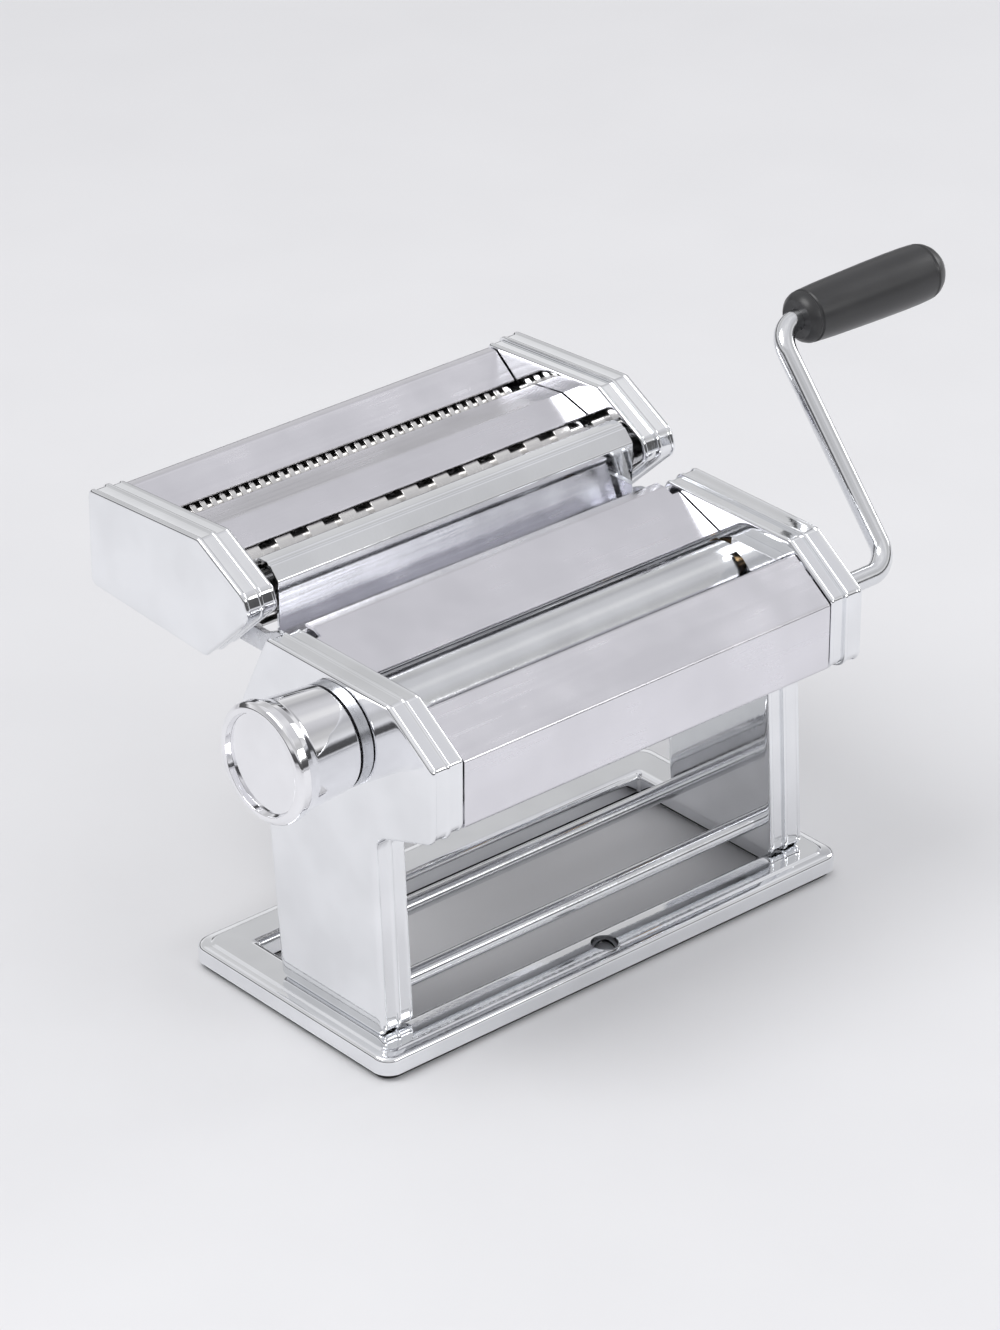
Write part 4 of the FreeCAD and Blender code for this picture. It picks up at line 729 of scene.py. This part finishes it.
# ---------------------------------------------------------------- cutting head sides
# The cutting head hangs on the machine's back by two hooks. Its sides are drawn and chromed like
# the machine's own, with the same two bands, and carry the cutters' bearings.
head_corners = [(105, 146, 3), (49, 149.5, 3), (27.2, 137.6, 5), (24.5, 130.5, 5), (47, 109, 3),
                (105, 112, 3)]
cutter_z, wide_y, narrow_y, pair_half = 128.0, 50.0, 85.5, 7.7
for word, side in (("left", -1), ("right", 1)):
    shell = skin(f"{word}_head_shell",
                 [rim_ring(head_corners, inset, side * (cover_x - deep)) for deep, inset in cover_rim])
    if side > 0:
        drilled(shell, [round_tool(80, 95, y - pair_half, cutter_z, 6.0) for y in (wide_y, narrow_y)])
    fitted(shell, "cutting_head", "polished_chrome", chrome, f"{word}_head_cover")
    plate = skin(f"{word}_head_plate",
                 [rim_ring(head_corners, inset, side * (side_x + deep)) for deep, inset in frame_rim])
    near, far = sorted((side * (side_x - 2), side * (side_x + 3)))
    bores = [round_tool(near, far, y + sign * pair_half, cutter_z, 4.55, 32)
             for y in (wide_y, narrow_y) for sign in (-1, 1)]
    bores += [round_tool(near, far, y, z, 3.0, 24) for y, z in ((63, 115.4), (99, 117))]
    drilled(plate, bores)
    fitted(plate, "cutting_head", "polished_chrome", chrome, f"{word}_head_frame")

# ---------------------------------------------------------------- feed plates of the cutting head
# Three bent stainless sheets lead the dough to the two slots. The front one ends in a rounded
# nose and a straight drop, and small beads are rolled along it to stiffen it.
rear_plate = bent_sheet("rear_feed_sheet", [(103.8, 115), (103.8, 144.4), (99.4, 144.4), (90.1, 137.1)], 76.4)
fitted(rear_plate, "cutting_head", "polished_steel", stainless, "rear_feed_plate")
middle_plate = bent_sheet("middle_feed_sheet", [(80.9, 137.9), (79.9, 138.7), (66.7, 140.4), (54.6, 137.1)],
                          76.4)
fitted(middle_plate, "cutting_head", "polished_steel", stainless, "middle_feed_plate")
front_plate = bent_sheet("front_feed_sheet", [
    (45.4, 137.1), (40.7, 140.4), (40.0, 140.0), (39.2, 141.6), (34.6, 141.7), (33.9, 140.8), (33.0, 140.9),
    (29.2, 136.8), (29.2, 117)], 74.1, bend=0.9)
fitted(front_plate, "cutting_head", "polished_chrome", chrome, "front_feed_plate")

# ---------------------------------------------------------------- cutters
# Each cutter is one bar turned into discs a strip wide with gaps as wide between them. The two
# bars of a pair run with the discs of one in the gaps of the other and shear the dough.
tool_steel = metal_finish("turned_tool_steel", (0.74, 0.73, 0.72), (0.14, 0.28), 1600, (1, 0.5, 0.5), 0.12)


def row_tree():
    """Adds a row of like blanks to a piece, evenly spaced."""
    tree = bpy.data.node_groups.new("row_of_blanks", "GeometryNodeTree")
    face = tree.interface
    face.new_socket("Geometry", in_out="INPUT", socket_type="NodeSocketGeometry")
    for name, kind in (("Blank", "NodeSocketObject"), ("How Many", "NodeSocketInt"),
                       ("First", "NodeSocketVector"),
                       ("Spacing", "NodeSocketVector"), ("Finish", "NodeSocketMaterial")):
        face.new_socket(name, in_out="INPUT", socket_type=kind)
    face.new_socket("Geometry", in_out="OUTPUT", socket_type="NodeSocketGeometry")
    nodes, links = tree.nodes, tree.links
    given, out = nodes.new("NodeGroupInput"), nodes.new("NodeGroupOutput")
    line, blank = nodes.new("GeometryNodeMeshLine"), nodes.new("GeometryNodeObjectInfo")
    line.mode = "OFFSET"
    spread, both = nodes.new("GeometryNodeInstanceOnPoints"), nodes.new("GeometryNodeJoinGeometry")
    real, paint = nodes.new("GeometryNodeRealizeInstances"), nodes.new("GeometryNodeSetMaterial")
    links.new(given.outputs["How Many"], line.inputs["Count"])
    links.new(given.outputs["First"], line.inputs["Start Location"])
    links.new(given.outputs["Spacing"], line.inputs["Offset"])
    links.new(given.outputs["Blank"], blank.inputs["Object"])
    links.new(line.outputs["Mesh"], spread.inputs["Points"])
    links.new(blank.outputs["Geometry"], spread.inputs["Instance"])
    links.new(given.outputs["Geometry"], both.inputs["Geometry"])
    links.new(spread.outputs["Instances"], both.inputs["Geometry"])
    links.new(both.outputs["Geometry"], real.inputs["Geometry"])
    links.new(real.outputs["Geometry"], paint.inputs["Geometry"])
    links.new(given.outputs["Finish"], paint.inputs["Material"])
    links.new(paint.outputs["Geometry"], out.inputs["Geometry"])
    return tree


row_of_blanks = row_tree()
roller_half, disc_radius, core_radius = 75.0, 8.2, 6.3
for kind, middle_y, strip in (("wide", wide_y, 6.5), ("narrow", narrow_y, 2.0)):
    slots = int(2 * roller_half / strip)
    begin = -slots * strip / 2
    for place, sign, first in (("front", -1, 0), ("rear", 1, 1)):
        y = middle_y + sign * pair_half
        ends = [(88.3, 4.5), (88.3, 3.55), (72.8, 3.55), (72.8, 0)] if sign < 0 else [(88.3, 4.5), (88.3, 0)]
        bar = turned(f"{kind}_{place}_arbor", [(-79.9, 0), (-79.9, 4.5), (-75, 4.5), (-75, core_radius),
                                               (75, core_radius), (75, 4.5)] + ends, y, cutter_z, 48)
        disc = turned("disc", [(0.04, 0), (0.04, disc_radius - 0.08), (0.12, disc_radius),
                               (strip - 0.12, disc_radius), (strip - 0.04, disc_radius - 0.08),
                               (strip - 0.04, 0)],
                      y, cutter_z, 40)
        count = len(range(first, slots, 2))
        grown(bar, row_of_blanks, blank=disc, how_many=count, first=((begin + first * strip) * mm, 0, 0),
              spacing=(2 * strip * mm, 0, 0), finish=tool_steel)
        bpy.data.objects.remove(disc)
        fitted(bar, f"{kind}_{place}_cutter", "cutter_steel", tool_steel, f"{kind}_{place}_cutter")

# ---------------------------------------------------------------- combs
# Under each cutter lies a sheet steel comb whose teeth reach into the gaps and lift the strips
# out. Its back runs from side to side and sits in the side plates.
for kind, middle_y, strip in (("wide", wide_y, 6.5), ("narrow", narrow_y, 2.0)):
    slots = int(2 * roller_half / strip)
    begin = -slots * strip / 2
    halves = []
    for sign, first in ((-1, 0), (1, 1)):
        y = middle_y + sign * pair_half
        back_y = sorted((y + sign * 8.0, y + sign * 4.9))
        tooth_y = sorted((y + sign * 4.9, y - sign * 2.6))
        spine = cut_plate("comb", [(back_y[0], 120.1), (back_y[1], 120.1), (back_y[1], 121.0),
                                   (back_y[0], 121.0)],
                          -76.9, 76.9, 0.08, 0.1)
        tooth = cut_plate("tooth", [(tooth_y[0], 120.1), (tooth_y[1], 120.1), (tooth_y[1], 121.0),
                                    (tooth_y[0], 121.0)], 0.15, strip - 0.15, 0.06, 0.1)
        start = begin + (1 - first) * strip
        count = len(range(1 - first, slots, 2))
        grown(spine, row_of_blanks, blank=tooth, how_many=count, first=(start * mm, 0, 0),
              spacing=(2 * strip * mm, 0, 0), finish=tool_steel)
        bpy.data.objects.remove(tooth)
        halves.append(spine)
    combs = joined(f"{kind}_comb_pair", halves)
    fitted(combs, "cutting_head", "cutter_steel", tool_steel, f"{kind}_combs")

# ---------------------------------------------------------------- hooks
# Two steel hooks are riveted inside the head's sides. Each drops over the machine's upper rail
# and leans on the lower one, so the head lifts straight off.
zinc = metal_finish("zinc_plate", (0.70, 0.71, 0.74), (0.22, 0.38), 500, (1, 1, 1), 0.10, cloud=160,
                    tint=0.85)
hook_outline = [(10.5, 109), (13.4, 109), (13.4, 115.1), (19.6, 115.1), (19.6, 109), (25.6, 107), (25.6, 93),
                (31.6, 93), (33.1, 111.2), (55.5, 111.2), (55.5, 118.4), (33, 118.4), (27.5, 121),
                (13.5, 121),
                (10.5, 118)]
hooks = joined("head_hook_pair", [cut_plate("hook", hook_outline, 74.7, 76.7, 0.2, 0.6),
                                  cut_plate("hook", hook_outline, -76.7, -74.7, 0.2, 0.6)])
fitted(hooks, "cutting_head", "zinc_steel", zinc, "head_hooks")


def marks_tree():
    """Sets a like blank on every marked point."""
    tree = bpy.data.node_groups.new("blanks_on_marks", "GeometryNodeTree")
    face = tree.interface
    face.new_socket("Marks", in_out="INPUT", socket_type="NodeSocketGeometry")
    for name, kind in (("Blank", "NodeSocketObject"), ("Finish", "NodeSocketMaterial")):
        face.new_socket(name, in_out="INPUT", socket_type=kind)
    face.new_socket("Geometry", in_out="OUTPUT", socket_type="NodeSocketGeometry")
    nodes, links = tree.nodes, tree.links
    given, out = nodes.new("NodeGroupInput"), nodes.new("NodeGroupOutput")
    blank, spread = nodes.new("GeometryNodeObjectInfo"), nodes.new("GeometryNodeInstanceOnPoints")
    real, paint = nodes.new("GeometryNodeRealizeInstances"), nodes.new("GeometryNodeSetMaterial")
    links.new(given.outputs["Blank"], blank.inputs["Object"])
    links.new(given.outputs["Marks"], spread.inputs["Points"])
    links.new(blank.outputs["Geometry"], spread.inputs["Instance"])
    links.new(spread.outputs["Instances"], real.inputs["Geometry"])
    links.new(real.outputs["Geometry"], paint.inputs["Geometry"])
    links.new(given.outputs["Finish"], paint.inputs["Material"])
    links.new(paint.outputs["Geometry"], out.inputs["Geometry"])
    return tree


blanks_on_marks = marks_tree()


def set_out(name, blank, marks, finish):
    """Copies of a blank at the marked places, in millimetres."""
    points = bpy.data.meshes.new(name)
    points.from_pydata([Vector(mark) * mm for mark in marks], [], [])
    row = bpy.data.objects.new(name, points)
    bpy.context.collection.objects.link(row)
    grown(row, blanks_on_marks, blank=blank, finish=finish)
    bpy.data.objects.remove(blank)
    return row


rivet_places = [(47.2, 116.0), (53.0, 114.6)]
rivets = []
for side in (-1, 1):
    rivet = turned("rivet", [(side * x, r) for x, r in (
        (74.7, 0), (74.7, 1.7), (74.8, 1.8), (78.4, 1.8), (78.4, 2.8), (78.7, 2.8), (79.05, 2.55),
        (79.35, 2.0),
        (79.52, 1.2), (79.58, 0.5), (79.6, 0))], 0, 0, 28)
    rivets.append(set_out("rivets", rivet, [(0, y, z) for y, z in rivet_places], zinc))
rivets = joined("hook_rivet_set", rivets)
fitted(rivets, "cutting_head", "zinc_steel", zinc, "hook_rivets")

# ---------------------------------------------------------------- rods, spacers and screws
# Bright round bars tie the two sides together, with spacer tubes between plate and cover. Two
# more, with hexagon heads, take the head's hooks. Four screws fix the covers' feet to the base.
rod = turned("rod", [(-88.8, 0), (-88.8, 2.6), (-88.4, 3.0), (88.4, 3.0), (88.8, 2.6), (88.8, 0)], 0, 0, 36)
ties = set_out("side_ties", rod, [(0, y, z) for y, z in tie_places], bright_rod)
fitted(ties, "frame", "bright_rod", bright_rod, "tie_rods")
rod = turned("rod", [(-88.8, 0), (-88.8, 2.6), (-88.4, 3.0), (88.4, 3.0), (88.8, 2.6), (88.8, 0)], 0, 0, 36)
ties = set_out("head_ties", rod, [(0, 63.0, 115.4), (0, 99.0, 117.0)], bright_rod)
fitted(ties, "cutting_head", "bright_rod", bright_rod, "head_tie_rods")
tubes = []
for side in (-1, 1):
    tube = turned("tube", [(side * x, r) for x, r in (
        (78.4, 3.0), (78.4, 4.8), (78.6, 5.0), (88.6, 5.0), (88.8, 4.8), (88.8, 3.0))], 0, 0, 36)
    tubes.append(set_out("tubes", tube, [(0, y, z) for y, z in tie_places], zinc))
tubes = joined("spacer_tubes", tubes)
fitted(tubes, "frame", "zinc_steel", zinc, "cover_spacers")


def hex_head(x0, x1, across, chamfer=0.35):
    """A hexagon head along X whose corners are broken at its outer face."""
    rings = []
    for x, radius in ((x0, across - chamfer), (x0 + math.copysign(chamfer, x1 - x0), across),
                      (x1 - math.copysign(chamfer, x1 - x0), across), (x1, across - chamfer)):
        rings.append([Vector((x, radius * math.cos(math.pi * i / 3), radius * math.sin(math.pi * i / 3))) * mm
                      for i in range(6)])
    return skin("hexagon", rings)


rail_blank = turned("rod", [(-78.4, 0), (-78.4, 3.0), (78.4, 3.0), (78.4, 0)], 0, 0, 40)
rail_parts = [set_out("rail_bars", rail_blank, [(0, y, z) for y, z in rail_places], bright_rod)]
for side in (-1, 1):
    rail_parts.append(set_out("rail_heads", hex_head(side * 78.4, side * 81.4, 4.4),
                              [(0, y, z) for y, z in rail_places], bright_rod))
rail_bars = joined("hook_rail_bars", rail_parts)
fitted(rail_bars, "frame", "bright_rod", bright_rod, "hook_rails")

screw_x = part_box("base_screws")[1].x / mm - 2.55
screw_rings = [(2.05, 5.5), (2.3, 5.55), (2.55, 5.9), (2.55, 7.5), (2.0, 7.5), (2.0, 10.2),
               (2.55, 10.2), (2.55, 12.4), (2.3, 12.7), (2.0, 12.7), (1.9, 13.2)]
screw_blank = skin("screw", [[Vector((r * math.cos(math.pi * i / 14), r * math.sin(math.pi * i / 14), z)) * mm
                              for i in range(28)] for r, z in screw_rings])
screw_places = [(side * screw_x, y, 0) for side in (-1, 1) for y in (-29, 3)]
screws = set_out("foot_screws", screw_blank, screw_places, zinc)
fitted(screws, "frame", "zinc_steel", zinc, "base_screws")

# ---------------------------------------------------------------- pieces kept as designed
# Gears, bearings, springs, rods and the small pieces inside are right as they are drawn, and get
# the finish of what they are made of.
gear_steel = metal_finish("cut_gear_steel", (0.55, 0.55, 0.56), (0.25, 0.42), 900, (1, 1, 1), 0.15)
bronze = metal_finish("bearing_bronze", (0.72, 0.48, 0.24), (0.22, 0.40), 600, (1, 1, 1), 0.10, tint=0.85)
spring_wire = metal_finish("spring_wire", (0.60, 0.60, 0.62), (0.18, 0.30), 900, (1, 1, 1), 0.08)
kept(gear_steel, "drive_gear", "rear_gear", "wide_front_gear", "wide_rear_gear", "narrow_front_gear",
     "narrow_rear_gear", "spiral_cam")
kept(bronze, "roller_bushes", "regulator_bush", "left_bearing_block", "right_bearing_block")
kept(spring_wire, "return_springs", "knob_spring")
kept(bright_rod, "spring_posts", "carriage_link", "cam_follower", "regulator_shaft", "locating_pin")
kept(zinc, "regulator_nut", "index_plate")
kept(stainless, "front_scraper", "rear_scraper")
